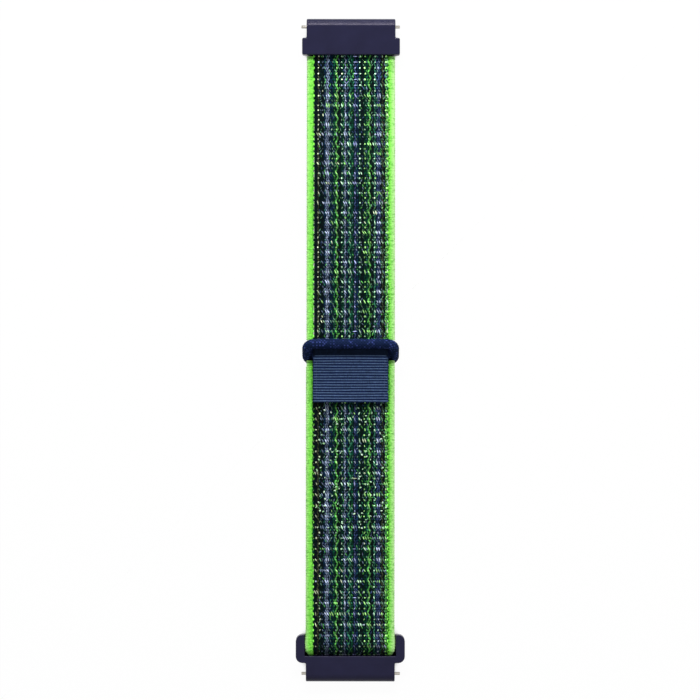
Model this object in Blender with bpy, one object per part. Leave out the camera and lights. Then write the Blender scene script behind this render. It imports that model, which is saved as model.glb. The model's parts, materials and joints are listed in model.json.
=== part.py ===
"""Hook and loop watch strap, laid flat and open, built from its separate pieces in metres.

X runs across the strap, Y along it towards the upper lug connector, and Z up from the table.
The short strap is folded round the lower connector's bar and round the keeper ring's rear bar.
The long strap runs through the ring and ends in the pull tab, which grips the short strap's face.
"""

from math import atan2, ceil, cos, hypot, pi, sin

import bmesh
import bpy
from mathutils import Matrix, Vector

# Whole strap: its bands are as wide as the gap between the watch's lugs
OVERALL_LENGTH = 0.1642
LUG_WIDTH = 0.0220
CUT_OVERRUN = 0.0010
MERGE_DISTANCE = 0.000005

# Woven bands: a face layer over a looped lining, held together by a bound edge on each side
EDGE_WIDTH = 0.0019
EDGE_GAP = 0.0001
EDGE_PROUD = 0.00005
EDGE_ROUNDING = 0.00035
FACE_THICKNESS = 0.0010
LINING_THICKNESS = 0.0009
LAYER_GAP = 0.0001
LINING_SETBACK = 0.0018

# Folds of the short strap round the two bars
BAR_RADIUS = 0.00085
FOLD_CLEARANCE = 0.00010
FLAP_RISE_LENGTH = 0.0050
FLAP_LENGTH = 0.0092
EDGE_END_SETBACK = 0.00155
ARC_STEPS = 14
RISE_STEPS = 8

# Lug connectors
CONNECTOR_THICKNESS = 0.0040
CONNECTOR_ROUNDING = 0.00028
UPPER_CONNECTOR_LENGTH = 0.0090
SHOULDER_STEP = 0.0011
SHOULDER_LENGTH = 0.0042
SHOULDER_CORNER = 0.0004
LOWER_BODY_LENGTH = 0.0064
BODY_CLEARANCE = 0.00025
EAR_THICKNESS = 0.0022
EAR_LENGTH = 0.0070
EAR_REACH = 0.0053
EAR_CORNER = 0.0016
EAR_CLEARANCE = 0.0003
EAR_INNER_CORNER = 0.0005
EAR_ROOT_CORNER = 0.00025
SLOT_CORNER = 0.0002
END_STEPS = 14

# Strap end held in the upper connector's channel
BEAD_RADIUS = 0.0011
BEAD_SETBACK = 0.0022
BEAD_CLEARANCE = 0.00015
RETAINER_RADIUS = 0.0004
RETAINER_CLEARANCE = 0.0001
CHANNEL_END_CLEARANCE = 0.0002

# Quick-release spring bars
TUBE_RADIUS = 0.00075
TUBE_BORE_RADIUS = 0.00055
TUBE_SETBACK = 0.0004
TUBE_CLEARANCE = 0.0001
CRIMP_RADIUS = 0.00045
CRIMP_LENGTH = 0.0004
TIP_RADIUS = 0.00038
TIP_CHAMFER = 0.00010
FIXED_TIP_REACH = 0.0011
RELEASE_TIP_REACH = 0.0013
PLUNGER_RADIUS = 0.00048
PLUNGER_LENGTH = 0.0028
PLUNGER_GAP = 0.0001
STEM_RADIUS = 0.00022
STEM_CLEARANCE = 0.00005
KNOB_RADIUS = 0.0008
KNOB_HEIGHT = 0.0005
KNOB_RECESS = 0.00025
POCKET_WIDTH = 0.0024
POCKET_MARGIN = 0.0005
SLOT_CLEARANCE = 0.00012
SPRING_WIRE_RADIUS = 0.00008
SPRING_RADIUS = 0.00038
SPRING_TURNS = 18
SPRING_GAP = 0.0002
STEPS_PER_TURN = 8
TUBE_SIDES = 20
TIP_SIDES = 14

# Keeper ring, hinged in the short strap's upper fold
RING_TUBE_RADIUS = 0.0012
RING_SIDE_CLEARANCE = 0.00025
RING_CORNER_RADIUS = 0.0020
RING_AXIS_Y = -0.0026
RING_REACH = 0.0042
RING_SLEEVE_GAP = 0.0001
RING_STRAP_CLEARANCE = 0.00025
SLEEVE_START_SHARE = 0.40
RING_SIDES = 14
CORNER_STEPS = 7

# Long strap and its pull tab
TIGHTEN_TRAVEL = 0.034
STRAIGHT_MARGIN = 0.0030
STRAP_LIFT = 0.0002
DROP_END_SETBACK = 0.0014
LONG_EDGE_START_Y = 0.0025
JOIN_Y = 0.0006
BUTT_GAP = 0.0003
TAB_END_Y = -0.01285
TAB_OVERHANG = 0.00025
TAB_THICKNESS = 0.0009
RIB_PITCH = 0.00072
RIB_HEIGHT = 0.00018
RIB_STEPS = 3
LIP_THICKNESS = 0.0006
LIP_LIFT = 0.0001
HOOK_INSET = 0.0003
HOOK_THICKNESS = 0.0008
HOOK_LAP = 0.0026
DROP_STEPS = 14

# Seam threads
THREAD_RADIUS = 0.00009
THREAD_LIFT = 0.00003
STITCH_LENGTH = 0.0021
STITCH_CROWN = 0.00006
STITCH_STEPS = 4
TAB_SEAM_INSET = 0.0009
SEAM_INSET = 0.0008
SEAM_FLAP_SHARE = 0.80

# Heights and places that follow from the sizes above
MID_Z = CONNECTOR_THICKNESS / 2
END_RADIUS = CONNECTOR_THICKNESS / 2
LUG_AXIS_Y = OVERALL_LENGTH / 2 - END_RADIUS
FOLD_INNER = BAR_RADIUS + FOLD_CLEARANCE
FOLD_OUTER = FOLD_INNER + FACE_THICKNESS
FOLD_MIDDLE = FOLD_INNER + FACE_THICKNESS / 2
EDGE_OUTER_X = LUG_WIDTH / 2
CORE_HALF = EDGE_OUTER_X - EDGE_WIDTH - EDGE_GAP / 2
EDGE_INNER_X = CORE_HALF + EDGE_GAP
TAB_HALF = CORE_HALF + TAB_OVERHANG
HOOK_HALF = TAB_HALF - HOOK_INSET
EAR_INNER_X = EDGE_OUTER_X + EAR_CLEARANCE
EAR_OUTER_X = EAR_INNER_X + EAR_THICKNESS
RING_ARM_X = TAB_HALF + RING_SIDE_CLEARANCE + RING_TUBE_RADIUS
SHORT_TOP_Z = MID_Z + FOLD_OUTER
SHORT_REF_Z = MID_Z + FOLD_INNER - LAYER_GAP / 2
BODY_EDGE_Y = -OVERALL_LENGTH / 2 + LOWER_BODY_LENGTH
BAR_Y = BODY_EDGE_Y + FOLD_OUTER + BODY_CLEARANCE
LONG_REF_Z = SHORT_TOP_Z + STRAP_LIFT + LINING_THICKNESS + LAYER_GAP / 2
LONG_TOP_Z = LONG_REF_Z + LAYER_GAP / 2 + FACE_THICKNESS
UPPER_MOUTH_Y = OVERALL_LENGTH / 2 - UPPER_CONNECTOR_LENGTH
BEAD_Y = UPPER_MOUTH_Y + BEAD_SETBACK
END_REF_Z = MID_Z - FACE_THICKNESS / 2 - LAYER_GAP / 2
RING_FRONT_Y = RING_AXIS_Y + RING_REACH
RING_RISE = LONG_TOP_Z + RING_STRAP_CLEARANCE + RING_TUBE_RADIUS - MID_Z
RING_LEAN = atan2(RING_REACH, RING_RISE)
RING_HEIGHT = hypot(RING_REACH, RING_RISE)
DROP_START_Y = RING_FRONT_Y + RING_TUBE_RADIUS + TIGHTEN_TRAVEL + STRAIGHT_MARGIN
DROP_END_Y = UPPER_MOUTH_Y - DROP_END_SETBACK
HOOK_END_Y = JOIN_Y + HOOK_LAP
SMALLEST_EDGE_ANGLE = 0.9

# Finishes: colour, roughness and metallic
NAVY_PLASTIC = ((0.030, 0.027, 0.062), 0.42, 0.0)
STEEL = ((0.62, 0.61, 0.60), 0.28, 1.0)
SPRING_STEEL = ((0.45, 0.45, 0.46), 0.35, 1.0)
WOVEN_NAVY = ((0.020, 0.040, 0.075), 0.85, 0.0)
LINING_NAVY = ((0.015, 0.030, 0.050), 0.95, 0.0)
NEON_GREEN = ((0.130, 0.900, 0.020), 0.75, 0.0)
RING_NAVY = ((0.010, 0.015, 0.090), 0.80, 0.0)
RIBBED_BLUE = ((0.045, 0.080, 0.180), 0.70, 0.0)
HOOK_GREY = ((0.040, 0.050, 0.080), 0.60, 0.0)
CORE_BLACK = ((0.012, 0.012, 0.014), 0.50, 0.0)
THREAD_BLUE = ((0.030, 0.050, 0.130), 0.65, 0.0)


def clear_scene():
    for obj in list(bpy.data.objects):
        bpy.data.objects.remove(obj, do_unlink=True)


def material(name, finish):
    colour, roughness, metallic = finish
    made = bpy.data.materials.new(name)
    made.use_nodes = True
    shader = made.node_tree.nodes["Principled BSDF"]
    shader.inputs["Base Color"].default_value = (*colour, 1.0)
    shader.inputs["Roughness"].default_value = roughness
    shader.inputs["Metallic"].default_value = metallic
    return made


def add_object(name, data, finish=None):
    obj = bpy.data.objects.new(name, data)
    bpy.context.scene.collection.objects.link(obj)
    if finish:
        data.materials.append(material(name, finish))
    return obj


def mesh_object(name, bm, finish=None):
    """Closes off a bmesh as an object whose faces point out."""
    bmesh.ops.recalc_face_normals(bm, faces=bm.faces)
    mesh = bpy.data.meshes.new(name)
    bm.to_mesh(mesh)
    bm.free()
    mesh.shade_smooth()
    mesh.set_sharp_from_angle(angle=SMALLEST_EDGE_ANGLE)
    return add_object(name, mesh, finish)


def prism(name, outline, low, high, place, finish=None):
    """Extrudes a closed outline from low to high; place(u, v, w) gives each point in space."""
    bm = bmesh.new()
    ends = [[bm.verts.new(place(u, v, w)) for u, v in outline] for w in (low, high)]
    bm.faces.new(ends[0])
    bm.faces.new(ends[1])
    count = len(outline)
    for i in range(count):
        j = (i + 1) % count
        bm.faces.new((ends[0][i], ends[0][j], ends[1][j], ends[1][i]))
    return mesh_object(name, bm, finish)


def across(y, z, x):
    return Vector((x, y, z))


def upward(x, y, z):
    return Vector((x, y, z))


def turned(name, profile, axis_y, axis_z, sides, finish=None, closed=False):
    """Turns a profile of (x, radius) points about the line through (axis_y, axis_z) along X."""
    bm = bmesh.new()
    verts = [bm.verts.new((x, radius, 0)) for x, radius in profile]
    pairs = list(zip(verts, verts[1:]))
    if closed:
        pairs.append((verts[-1], verts[0]))
    edges = [bm.edges.new(pair) for pair in pairs]
    bmesh.ops.spin(
        bm, geom=verts + edges, cent=(0, 0, 0), axis=(1, 0, 0), angle=2 * pi, steps=sides
    )
    bmesh.ops.remove_doubles(bm, verts=bm.verts, dist=MERGE_DISTANCE)
    bmesh.ops.translate(bm, verts=bm.verts, vec=(0, axis_y, axis_z))
    return mesh_object(name, bm, finish)


def rod_profile(half, radius):
    """A plain rod's profile for turning, half its length to each side of the middle."""
    return [(-half, 0), (-half, radius), (half, radius), (half, 0)]


def post(name, x, y, z_low, z_high, radius, sides):
    """An upright round cutter or stem."""
    outline = [
        (x + radius * cos(2 * pi * i / sides), y + radius * sin(2 * pi * i / sides))
        for i in range(sides)
    ]
    return prism(name, outline, z_low, z_high, upward)


def sweep(name, path, radius, sides, finish, normal, closed=False, bore=None):
    """Sweeps a round section along a flat path; with a bore the ends are open rings."""
    bm = bmesh.new()
    count = len(path)

    def ring(i, r):
        before = path[(i - 1) % count] if closed or i > 0 else path[i]
        after = path[(i + 1) % count] if closed or i < count - 1 else path[i]
        side = (after - before).normalized().cross(normal)
        turns = (2 * pi * k / sides for k in range(sides))
        return [bm.verts.new(path[i] + r * (cos(a) * side + sin(a) * normal)) for a in turns]

    def skin(first, second):
        for k in range(sides):
            m = (k + 1) % sides
            bm.faces.new((first[k], first[m], second[m], second[k]))

    walls = [[ring(i, r) for i in range(count)] for r in (radius, bore) if r]
    for rings in walls:
        for first, second in zip(rings, rings[1:]):
            skin(first, second)
        if closed:
            skin(rings[-1], rings[0])
    if bore:
        skin(walls[0][0], walls[1][0])
        skin(walls[0][-1], walls[1][-1])
    elif not closed:
        bm.faces.new(walls[0][0])
        bm.faces.new(walls[0][-1])
    return mesh_object(name, bm, finish)


def wire(name, points, radius, resolution, finish):
    """A fine wire or thread along points, with closed ends."""
    curve = bpy.data.curves.new(name, "CURVE")
    curve.dimensions = "3D"
    curve.bevel_depth = radius
    curve.bevel_resolution = resolution
    curve.use_fill_caps = True
    spline = curve.splines.new("POLY")
    spline.points.add(len(points) - 1)
    for slot, point in zip(spline.points, points):
        slot.co = (*point, 1.0)
    return add_object(name, curve, finish)


def boolean(obj, cutter, operation="DIFFERENCE"):
    """Applies a cutter as a modifier that stays on the object, which carries the cutter."""
    cutter.hide_render = True
    cutter.display_type = "WIRE"
    cutter.parent = obj
    modifier = obj.modifiers.new(cutter.name, "BOOLEAN")
    modifier.operation = operation
    modifier.solver = "EXACT"
    modifier.object = cutter


def bevel(obj, width, segments=2):
    modifier = obj.modifiers.new("edge_rounding", "BEVEL")
    modifier.width = width
    modifier.segments = segments
    modifier.limit_method = "ANGLE"
    modifier.angle_limit = SMALLEST_EDGE_ANGLE


def arc(centre, radius, start, end, steps):
    """Points on a circle in the outline's plane, from angle start to angle end."""
    angles = (start + (end - start) * i / steps for i in range(steps + 1))
    return [Vector((centre[0] + radius * cos(a), centre[1] + radius * sin(a))) for a in angles]


def rounded(corners, steps=5):
    """A closed outline from (u, v, radius) corners; a radius of zero keeps the corner sharp."""
    outline = []
    count = len(corners)
    for i, (u, v, radius) in enumerate(corners):
        here = Vector((u, v))
        if not radius:
            outline.append(here)
            continue
        back = (Vector(corners[i - 1][:2]) - here).normalized()
        ahead = (Vector(corners[(i + 1) % count][:2]) - here).normalized()
        centre = here + (back + ahead) * radius
        first, last = here + back * radius - centre, here + ahead * radius - centre
        start = atan2(first.y, first.x)
        turn = (atan2(last.y, last.x) - start + pi) % (2 * pi) - pi
        outline += arc(centre, radius, start, start + turn, steps)
    return outline


def box_corners(u_low, u_high, v_low, v_high, radius):
    """The four corners of a rectangle, each with the same radius."""
    places = ((u_low, v_low), (u_high, v_low), (u_high, v_high), (u_low, v_high))
    return [(u, v, radius) for u, v in places]


def smooth(share):
    return share * share * (3 - 2 * share)


def offset_path(path, distance):
    """A path in the YZ plane moved to its left by distance."""
    moved = []
    for i, point in enumerate(path):
        along = path[min(i + 1, len(path) - 1)] - path[max(i - 1, 0)]
        along.normalize()
        moved.append(point + distance * Vector((-along.y, along.x)))
    return moved


def ribbon(path, low, high):
    """The outline of a layer that lies between two distances to the left of a path."""
    return offset_path(path, high) + offset_path(path, low)[::-1]


# Lug connectors and what they hold


def connector_blank(name, sign, length, plan):
    """A connector's solid: its rounded side profile cut to its plan outline."""
    inner_y = sign * (OVERALL_LENGTH / 2 - length)
    axis_y = sign * LUG_AXIS_Y
    start = -sign * pi / 2
    side = arc((axis_y, MID_Z), END_RADIUS, start, start + pi, END_STEPS)
    heights = (CONNECTOR_THICKNESS, 0) if sign > 0 else (0, CONNECTOR_THICKNESS)
    side += [Vector((inner_y, z)) for z in heights]
    half = EAR_OUTER_X + CUT_OVERRUN
    blank = prism(name, side, -half, half, across, NAVY_PLASTIC)
    cutter = prism(name + "_plan", plan, -CUT_OVERRUN, CONNECTOR_THICKNESS + CUT_OVERRUN, upward)
    boolean(blank, cutter, "INTERSECT")
    bevel(blank, CONNECTOR_ROUNDING)
    return blank


def bar_seat(connector, axis_y, release_side):
    """Cuts the spring bar's bore, and the pocket below it that the release knob moves in."""
    name = connector.name
    radius = TUBE_RADIUS + TUBE_CLEARANCE
    profile = rod_profile(LUG_WIDTH / 2 + CUT_OVERRUN, radius)
    boolean(connector, turned(name + "_bore", profile, axis_y, MID_Z, TUBE_SIDES))
    near, far = knob_span(release_side)
    x_low, x_high = min(near, far) - POCKET_MARGIN, max(near, far) + POCKET_MARGIN
    y_low, y_high = axis_y - POCKET_WIDTH / 2, axis_y + POCKET_WIDTH / 2
    outline = rounded(box_corners(x_low, x_high, y_low, y_high, POCKET_WIDTH / 4), 4)
    boolean(connector, prism(name + "_pocket", outline, -CUT_OVERRUN, MID_Z, upward))


def knob_x(release_side):
    tube_end = LUG_WIDTH / 2 - TUBE_SETBACK
    return release_side * (tube_end - CRIMP_LENGTH - PLUNGER_GAP - PLUNGER_LENGTH / 2)


def knob_span(release_side):
    """The knob's outermost and innermost places as the tip travels in."""
    rest = knob_x(release_side)
    return rest + release_side * KNOB_RADIUS, rest - release_side * (KNOB_RADIUS + RELEASE_TIP_REACH)


def upper_connector():
    end_y = OVERALL_LENGTH / 2 + CUT_OVERRUN
    lug = LUG_WIDTH / 2
    shoulder = lug + SHOULDER_STEP
    step_y = UPPER_MOUTH_Y + SHOULDER_LENGTH
    right = [
        (shoulder, UPPER_MOUTH_Y, SHOULDER_CORNER),
        (shoulder, step_y, SHOULDER_CORNER),
        (lug, step_y, 0),
        (lug, end_y, 0),
    ]
    left = [(-x, y, radius) for x, y, radius in reversed(right)]
    connector = connector_blank("upper_lug_connector", 1, UPPER_CONNECTOR_LENGTH, rounded(right + left, 3))
    cavity = BEAD_RADIUS + BEAD_CLEARANCE
    mouth = FACE_THICKNESS / 2 + BEAD_CLEARANCE
    start = atan2(-mouth, -(cavity**2 - mouth**2) ** 0.5)
    channel = arc((BEAD_Y, MID_Z), cavity, start, -start, 2 * ARC_STEPS)
    channel += [Vector((UPPER_MOUTH_Y - CUT_OVERRUN, z)) for z in (MID_Z + mouth, MID_Z - mouth)]
    left_x = -CORE_HALF - CHANNEL_END_CLEARANCE
    boolean(connector, prism("strap_channel", channel, left_x, shoulder + CUT_OVERRUN, across))
    bar_seat(connector, LUG_AXIS_Y, -1)
    return connector


def lower_connector():
    end_y = -OVERALL_LENGTH / 2 - CUT_OVERRUN
    top_y = BODY_EDGE_Y + EAR_REACH
    root_y = top_y - EAR_LENGTH
    lug = LUG_WIDTH / 2
    right = [
        (lug, end_y, 0),
        (lug, root_y, EAR_ROOT_CORNER),
        (EAR_OUTER_X, root_y, EAR_CORNER),
        (EAR_OUTER_X, top_y, EAR_CORNER),
        (EAR_INNER_X, top_y, EAR_INNER_CORNER),
        (EAR_INNER_X, BODY_EDGE_Y, SLOT_CORNER),
    ]
    left = [(-x, y, radius) for x, y, radius in reversed(right)]
    length = OVERALL_LENGTH / 2 + top_y
    connector = connector_blank("lower_lug_connector", -1, length, rounded(right + left, 4))
    profile = rod_profile(EAR_INNER_X + EAR_INNER_CORNER, BAR_RADIUS)
    boolean(connector, turned("strap_bar", profile, BAR_Y, MID_Z, TUBE_SIDES), "UNION")
    bar_seat(connector, -LUG_AXIS_Y, 1)
    return connector


def spring_bar(prefix, axis_y, side):
    """A spring bar along X whose release tip is on the given side; returns what the tip carries."""
    end = LUG_WIDTH / 2 - TUBE_SETBACK
    shelf = end - CRIMP_LENGTH
    wall = [(-end, CRIMP_RADIUS), (-shelf, CRIMP_RADIUS), (-shelf, TUBE_BORE_RADIUS)]
    wall += [(-x, radius) for x, radius in reversed(wall)]
    outer = [(end - TIP_CHAMFER, TUBE_RADIUS), (TIP_CHAMFER - end, TUBE_RADIUS)]
    wall += [(end, TUBE_RADIUS - TIP_CHAMFER), *outer, (-end, TUBE_RADIUS - TIP_CHAMFER)]
    tube = turned(prefix + "_spring_bar_tube", wall, axis_y, MID_Z, TUBE_SIDES, STEEL, closed=True)
    slot_half = STEM_RADIUS + SLOT_CLEARANCE
    far, near = knob_x(side) - side * (RELEASE_TIP_REACH + slot_half), knob_x(side) + side * slot_half
    slot = [(min(near, far), axis_y - slot_half), (max(near, far), axis_y - slot_half)]
    slot += [(x, axis_y + slot_half) for x, _ in reversed(slot)]
    boolean(tube, prism(prefix + "_tube_slot", slot, 0, MID_Z, upward))

    shoulder = shelf - PLUNGER_GAP
    head = shoulder - PLUNGER_LENGTH

    def tip(reach):
        tip_end = LUG_WIDTH / 2 + reach
        return [
            (head, 0),
            (head, PLUNGER_RADIUS),
            (shoulder, PLUNGER_RADIUS),
            (shoulder, TIP_RADIUS),
            (tip_end - TIP_CHAMFER, TIP_RADIUS),
            (tip_end, TIP_RADIUS - TIP_CHAMFER),
            (tip_end, 0),
        ]

    fixed = [(-side * x, radius) for x, radius in tip(FIXED_TIP_REACH)]
    turned(prefix + "_fixed_tip", fixed, axis_y, MID_Z, TIP_SIDES, STEEL)
    moving = [(side * x, radius) for x, radius in tip(RELEASE_TIP_REACH)]
    release = turned(prefix + "_release_tip", moving, axis_y, MID_Z, TIP_SIDES, STEEL)
    seat_radius = STEM_RADIUS + STEM_CLEARANCE
    seat = post(prefix + "_stem_seat", knob_x(side), axis_y, 0, MID_Z, seat_radius, TIP_SIDES)
    boolean(release, seat)

    knob = release_knob(prefix, knob_x(side), axis_y)
    length = 2 * (head - SPRING_GAP)
    steps = SPRING_TURNS * STEPS_PER_TURN
    turns = (2 * pi * i / STEPS_PER_TURN for i in range(steps + 1))
    coil = [
        (length * (i / steps - 1 / 2), axis_y + SPRING_RADIUS * cos(a), MID_Z + SPRING_RADIUS * sin(a))
        for i, a in enumerate(turns)
    ]
    wire(prefix + "_spring", coil, SPRING_WIRE_RADIUS, 0, SPRING_STEEL)
    return release, knob


def release_knob(prefix, x, axis_y):
    """The thumb knob: a stem seated in the plunger with a flat button in the connector's pocket."""
    stem_top = MID_Z - STEM_CLEARANCE
    button_top = KNOB_RECESS + KNOB_HEIGHT
    bm = bmesh.new()
    profile = [
        (0, KNOB_RECESS),
        (KNOB_RADIUS - TIP_CHAMFER, KNOB_RECESS),
        (KNOB_RADIUS, KNOB_RECESS + TIP_CHAMFER),
        (KNOB_RADIUS, button_top),
        (STEM_RADIUS, button_top),
        (STEM_RADIUS, stem_top),
        (0, stem_top),
    ]
    verts = [bm.verts.new((radius, 0, z)) for radius, z in profile]
    edges = [bm.edges.new(pair) for pair in zip(verts, verts[1:])]
    bmesh.ops.spin(bm, geom=verts + edges, cent=(0, 0, 0), axis=(0, 0, 1), angle=2 * pi, steps=TIP_SIDES)
    bmesh.ops.remove_doubles(bm, verts=bm.verts, dist=MERGE_DISTANCE)
    bmesh.ops.translate(bm, verts=bm.verts, vec=(x, axis_y, 0))
    return mesh_object(prefix + "_release_knob", bm, STEEL)


# Short strap, folded at both ends


def fold_path(centre_y, away, setback):
    """The middle of a flap: from its free end under the strap, down and round the bar to the top.

    away is the direction in Y from the bar towards the strap's middle, 1 or -1.
    """
    bottom = MID_Z - FOLD_MIDDLE
    lining_under = SHORT_REF_Z - LAYER_GAP / 2 - LINING_THICKNESS
    tucked = lining_under - LAYER_GAP - FACE_THICKNESS / 2 - setback
    path = [Vector((centre_y + away * FLAP_LENGTH, tucked))]
    for i in range(RISE_STEPS, 0, -1):
        share = i / RISE_STEPS
        rise = bottom + (tucked - bottom) * smooth(share)
        path.append(Vector((centre_y + away * FLAP_RISE_LENGTH * share, rise)))
    quarter = pi / 2
    start, end = (-quarter, -3 * quarter) if away > 0 else (-quarter, quarter)
    return path + arc((centre_y, MID_Z), FOLD_MIDDLE, start, end, ARC_STEPS)


def short_face():
    path = fold_path(RING_AXIS_Y, -1, 0) + fold_path(BAR_Y, 1, 0)[::-1]
    half = FACE_THICKNESS / 2
    return prism("short_strap_face", ribbon(path, -half, half), -CORE_HALF, CORE_HALF, across, WOVEN_NAVY)


def short_lining():
    low, high = SHORT_REF_Z - LAYER_GAP / 2 - LINING_THICKNESS, SHORT_REF_Z - LAYER_GAP / 2
    start, end = RING_AXIS_Y - LINING_SETBACK, BAR_Y + LINING_SETBACK
    outline = rounded(box_corners(end, start, low, high, LINING_THICKNESS / 3), 3)
    return prism("short_strap_lining", outline, -CORE_HALF, CORE_HALF, across, LINING_NAVY)


def short_edge(name, side):
    """A bound edge: the full thickness of the band, thinning to one layer in the fold."""
    top = SHORT_TOP_Z + EDGE_PROUD
    under = SHORT_REF_Z - LAYER_GAP / 2 - LINING_THICKNESS
    start = RING_AXIS_Y - EDGE_END_SETBACK
    fold = fold_path(BAR_Y, 1, EDGE_PROUD)
    outer_side = offset_path(fold, FACE_THICKNESS / 2 + EDGE_PROUD)
    inner_side = offset_path(fold, -FACE_THICKNESS / 2)
    step = Vector((BAR_Y + LINING_SETBACK, inner_side[-1].y))
    outline = [Vector((start, under + EDGE_ROUNDING)), Vector((start, top - EDGE_ROUNDING))]
    outline += [Vector((start - EDGE_ROUNDING, top)), *outer_side[::-1], *inner_side]
    outline += [step, Vector((step.x, under)), Vector((start - EDGE_ROUNDING, under))]
    low, high = sorted((side * EDGE_INNER_X, side * EDGE_OUTER_X))
    edge = prism(name, outline, low, high, across, NEON_GREEN)
    bevel(edge, EDGE_ROUNDING)
    return edge


# Keeper ring


def ring_path(from_share=0.0):
    """The ring's centreline, in its own plane, from the rear bar up one arm and down the other."""
    corner = RING_CORNER_RADIUS
    quarter = pi / 2
    right = arc((RING_ARM_X - corner, corner), corner, (from_share - 1) * quarter, 0, CORNER_STEPS)
    right += arc((RING_ARM_X - corner, RING_HEIGHT - corner), corner, 0, quarter, CORNER_STEPS)
    flat = right + [Vector((-p.x, p.y)) for p in reversed(right)]
    up = Vector((0, sin(RING_LEAN), cos(RING_LEAN)))
    return [Vector((p.x, RING_AXIS_Y, MID_Z)) + p.y * up for p in flat]


def keeper_ring():
    normal = Vector((0, cos(RING_LEAN), -sin(RING_LEAN)))
    core = sweep("keeper_ring_wire", ring_path(), BAR_RADIUS, RING_SIDES, CORE_BLACK, normal, closed=True)
    bore = BAR_RADIUS + RING_SLEEVE_GAP
    path = ring_path(SLEEVE_START_SHARE)
    sleeve = sweep("keeper_ring_sleeve", path, RING_TUBE_RADIUS, RING_SIDES, RING_NAVY, normal, bore=bore)
    return core, sleeve


# Long strap


def long_path(start_y, end_y):
    """The line between face and lining: level over the short strap, then down to the connector."""
    path = [Vector((start_y, LONG_REF_Z)), Vector((DROP_START_Y, LONG_REF_Z))]
    for i in range(1, DROP_STEPS + 1):
        share = i / DROP_STEPS
        y = DROP_START_Y + (DROP_END_Y - DROP_START_Y) * share
        path.append(Vector((y, LONG_REF_Z + (END_REF_Z - LONG_REF_Z) * smooth(share))))
    path.append(Vector((end_y, END_REF_Z)))
    return path


def long_face():
    low = LAYER_GAP / 2
    high = low + FACE_THICKNESS
    half = FACE_THICKNESS / 2
    reach = (BEAD_RADIUS**2 - half**2) ** 0.5
    path = long_path(JOIN_Y, BEAD_Y - reach)
    start = atan2(half, -reach)
    bead = arc((BEAD_Y, MID_Z), BEAD_RADIUS, start, -start, 2 * ARC_STEPS)
    outline = offset_path(path, high)[:-1] + bead + offset_path(path, low)[-2::-1]
    face = prism("long_strap_face", outline, -CORE_HALF, CORE_HALF, across, WOVEN_NAVY)
    profile = rod_profile(CORE_HALF + CUT_OVERRUN, RETAINER_RADIUS + RETAINER_CLEARANCE)
    boolean(face, turned("retainer_hole", profile, BEAD_Y, MID_Z, TIP_SIDES))
    return face


def retainer_rod():
    profile = [
        (-CORE_HALF, 0),
        (-CORE_HALF, RETAINER_RADIUS - TIP_CHAMFER),
        (TIP_CHAMFER - CORE_HALF, RETAINER_RADIUS),
        (CORE_HALF - TIP_CHAMFER, RETAINER_RADIUS),
        (CORE_HALF, RETAINER_RADIUS - TIP_CHAMFER),
        (CORE_HALF, 0),
    ]
    return turned("strap_retainer_rod", profile, BEAD_Y, MID_Z, TIP_SIDES, STEEL)


def long_lining():
    path = long_path(HOOK_END_Y + BUTT_GAP, UPPER_MOUTH_Y - BUTT_GAP)
    high = -LAYER_GAP / 2
    outline = ribbon(path, high - LINING_THICKNESS, high)
    return prism("long_strap_lining", outline, -CORE_HALF, CORE_HALF, across, LINING_NAVY)


def long_edge(name, side):
    path = long_path(LONG_EDGE_START_Y, UPPER_MOUTH_Y - BUTT_GAP)
    low = -LAYER_GAP / 2 - LINING_THICKNESS
    high = LAYER_GAP / 2 + FACE_THICKNESS + EDGE_PROUD
    near, far = sorted((side * EDGE_INNER_X, side * EDGE_OUTER_X))
    edge = prism(name, ribbon(path, low, high), near, far, across, NEON_GREEN)
    bevel(edge, EDGE_ROUNDING)
    return edge


def pull_tab():
    """A ribbed ribbon: its ribs run across the tab, and it folds down over the hook patch's end."""
    base = LONG_REF_Z + LAYER_GAP / 2
    valley = base + TAB_THICKNESS - RIB_HEIGHT
    start = JOIN_Y - BUTT_GAP
    count = ceil((start - TAB_END_Y) / RIB_PITCH - 1 / 2)
    pitch = (start - TAB_END_Y) / count
    outline = [Vector((start, base)), Vector((start, valley))]
    for i in range(count):
        for k in range(1, RIB_STEPS + 1):
            share = k / (RIB_STEPS + 1)
            outline.append(Vector((start - (i + share) * pitch, valley + RIB_HEIGHT * sin(pi * share))))
        outline.append(Vector((start - (i + 1) * pitch, valley)))
    lip_z = SHORT_TOP_Z + STRAP_LIFT + LIP_LIFT
    outline += [
        Vector((TAB_END_Y, lip_z + LIP_THICKNESS / 2)),
        Vector((TAB_END_Y + LIP_THICKNESS / 3, lip_z)),
        Vector((TAB_END_Y + LIP_THICKNESS, lip_z)),
        Vector((TAB_END_Y + LIP_THICKNESS, base)),
    ]
    return prism("pull_tab_cover", outline, -TAB_HALF, TAB_HALF, across, RIBBED_BLUE)


def hook_patch():
    high = LONG_REF_Z - LAYER_GAP / 2
    low = high - HOOK_THICKNESS
    start, end = TAB_END_Y + LIP_THICKNESS + LAYER_GAP, HOOK_END_Y
    outline = rounded(box_corners(start, end, low, high, HOOK_THICKNESS / 4), 2)
    return prism("hook_patch", outline, -HOOK_HALF, HOOK_HALF, across, HOOK_GREY)


# Seam threads


def stitched(corners, lift):
    """Points of a thread that crowns at each stitch, along straight runs between corners."""
    points = []
    for first, second in zip(corners, corners[1:]):
        run = second - first
        steps = STITCH_STEPS * max(1, round(run.length / STITCH_LENGTH))
        for i in range(steps):
            crown = STITCH_CROWN * abs(sin(pi * i / STITCH_STEPS))
            points.append(first + run * (i / steps) + Vector((0, 0, lift * crown)))
    return points + [corners[-1]]


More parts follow.
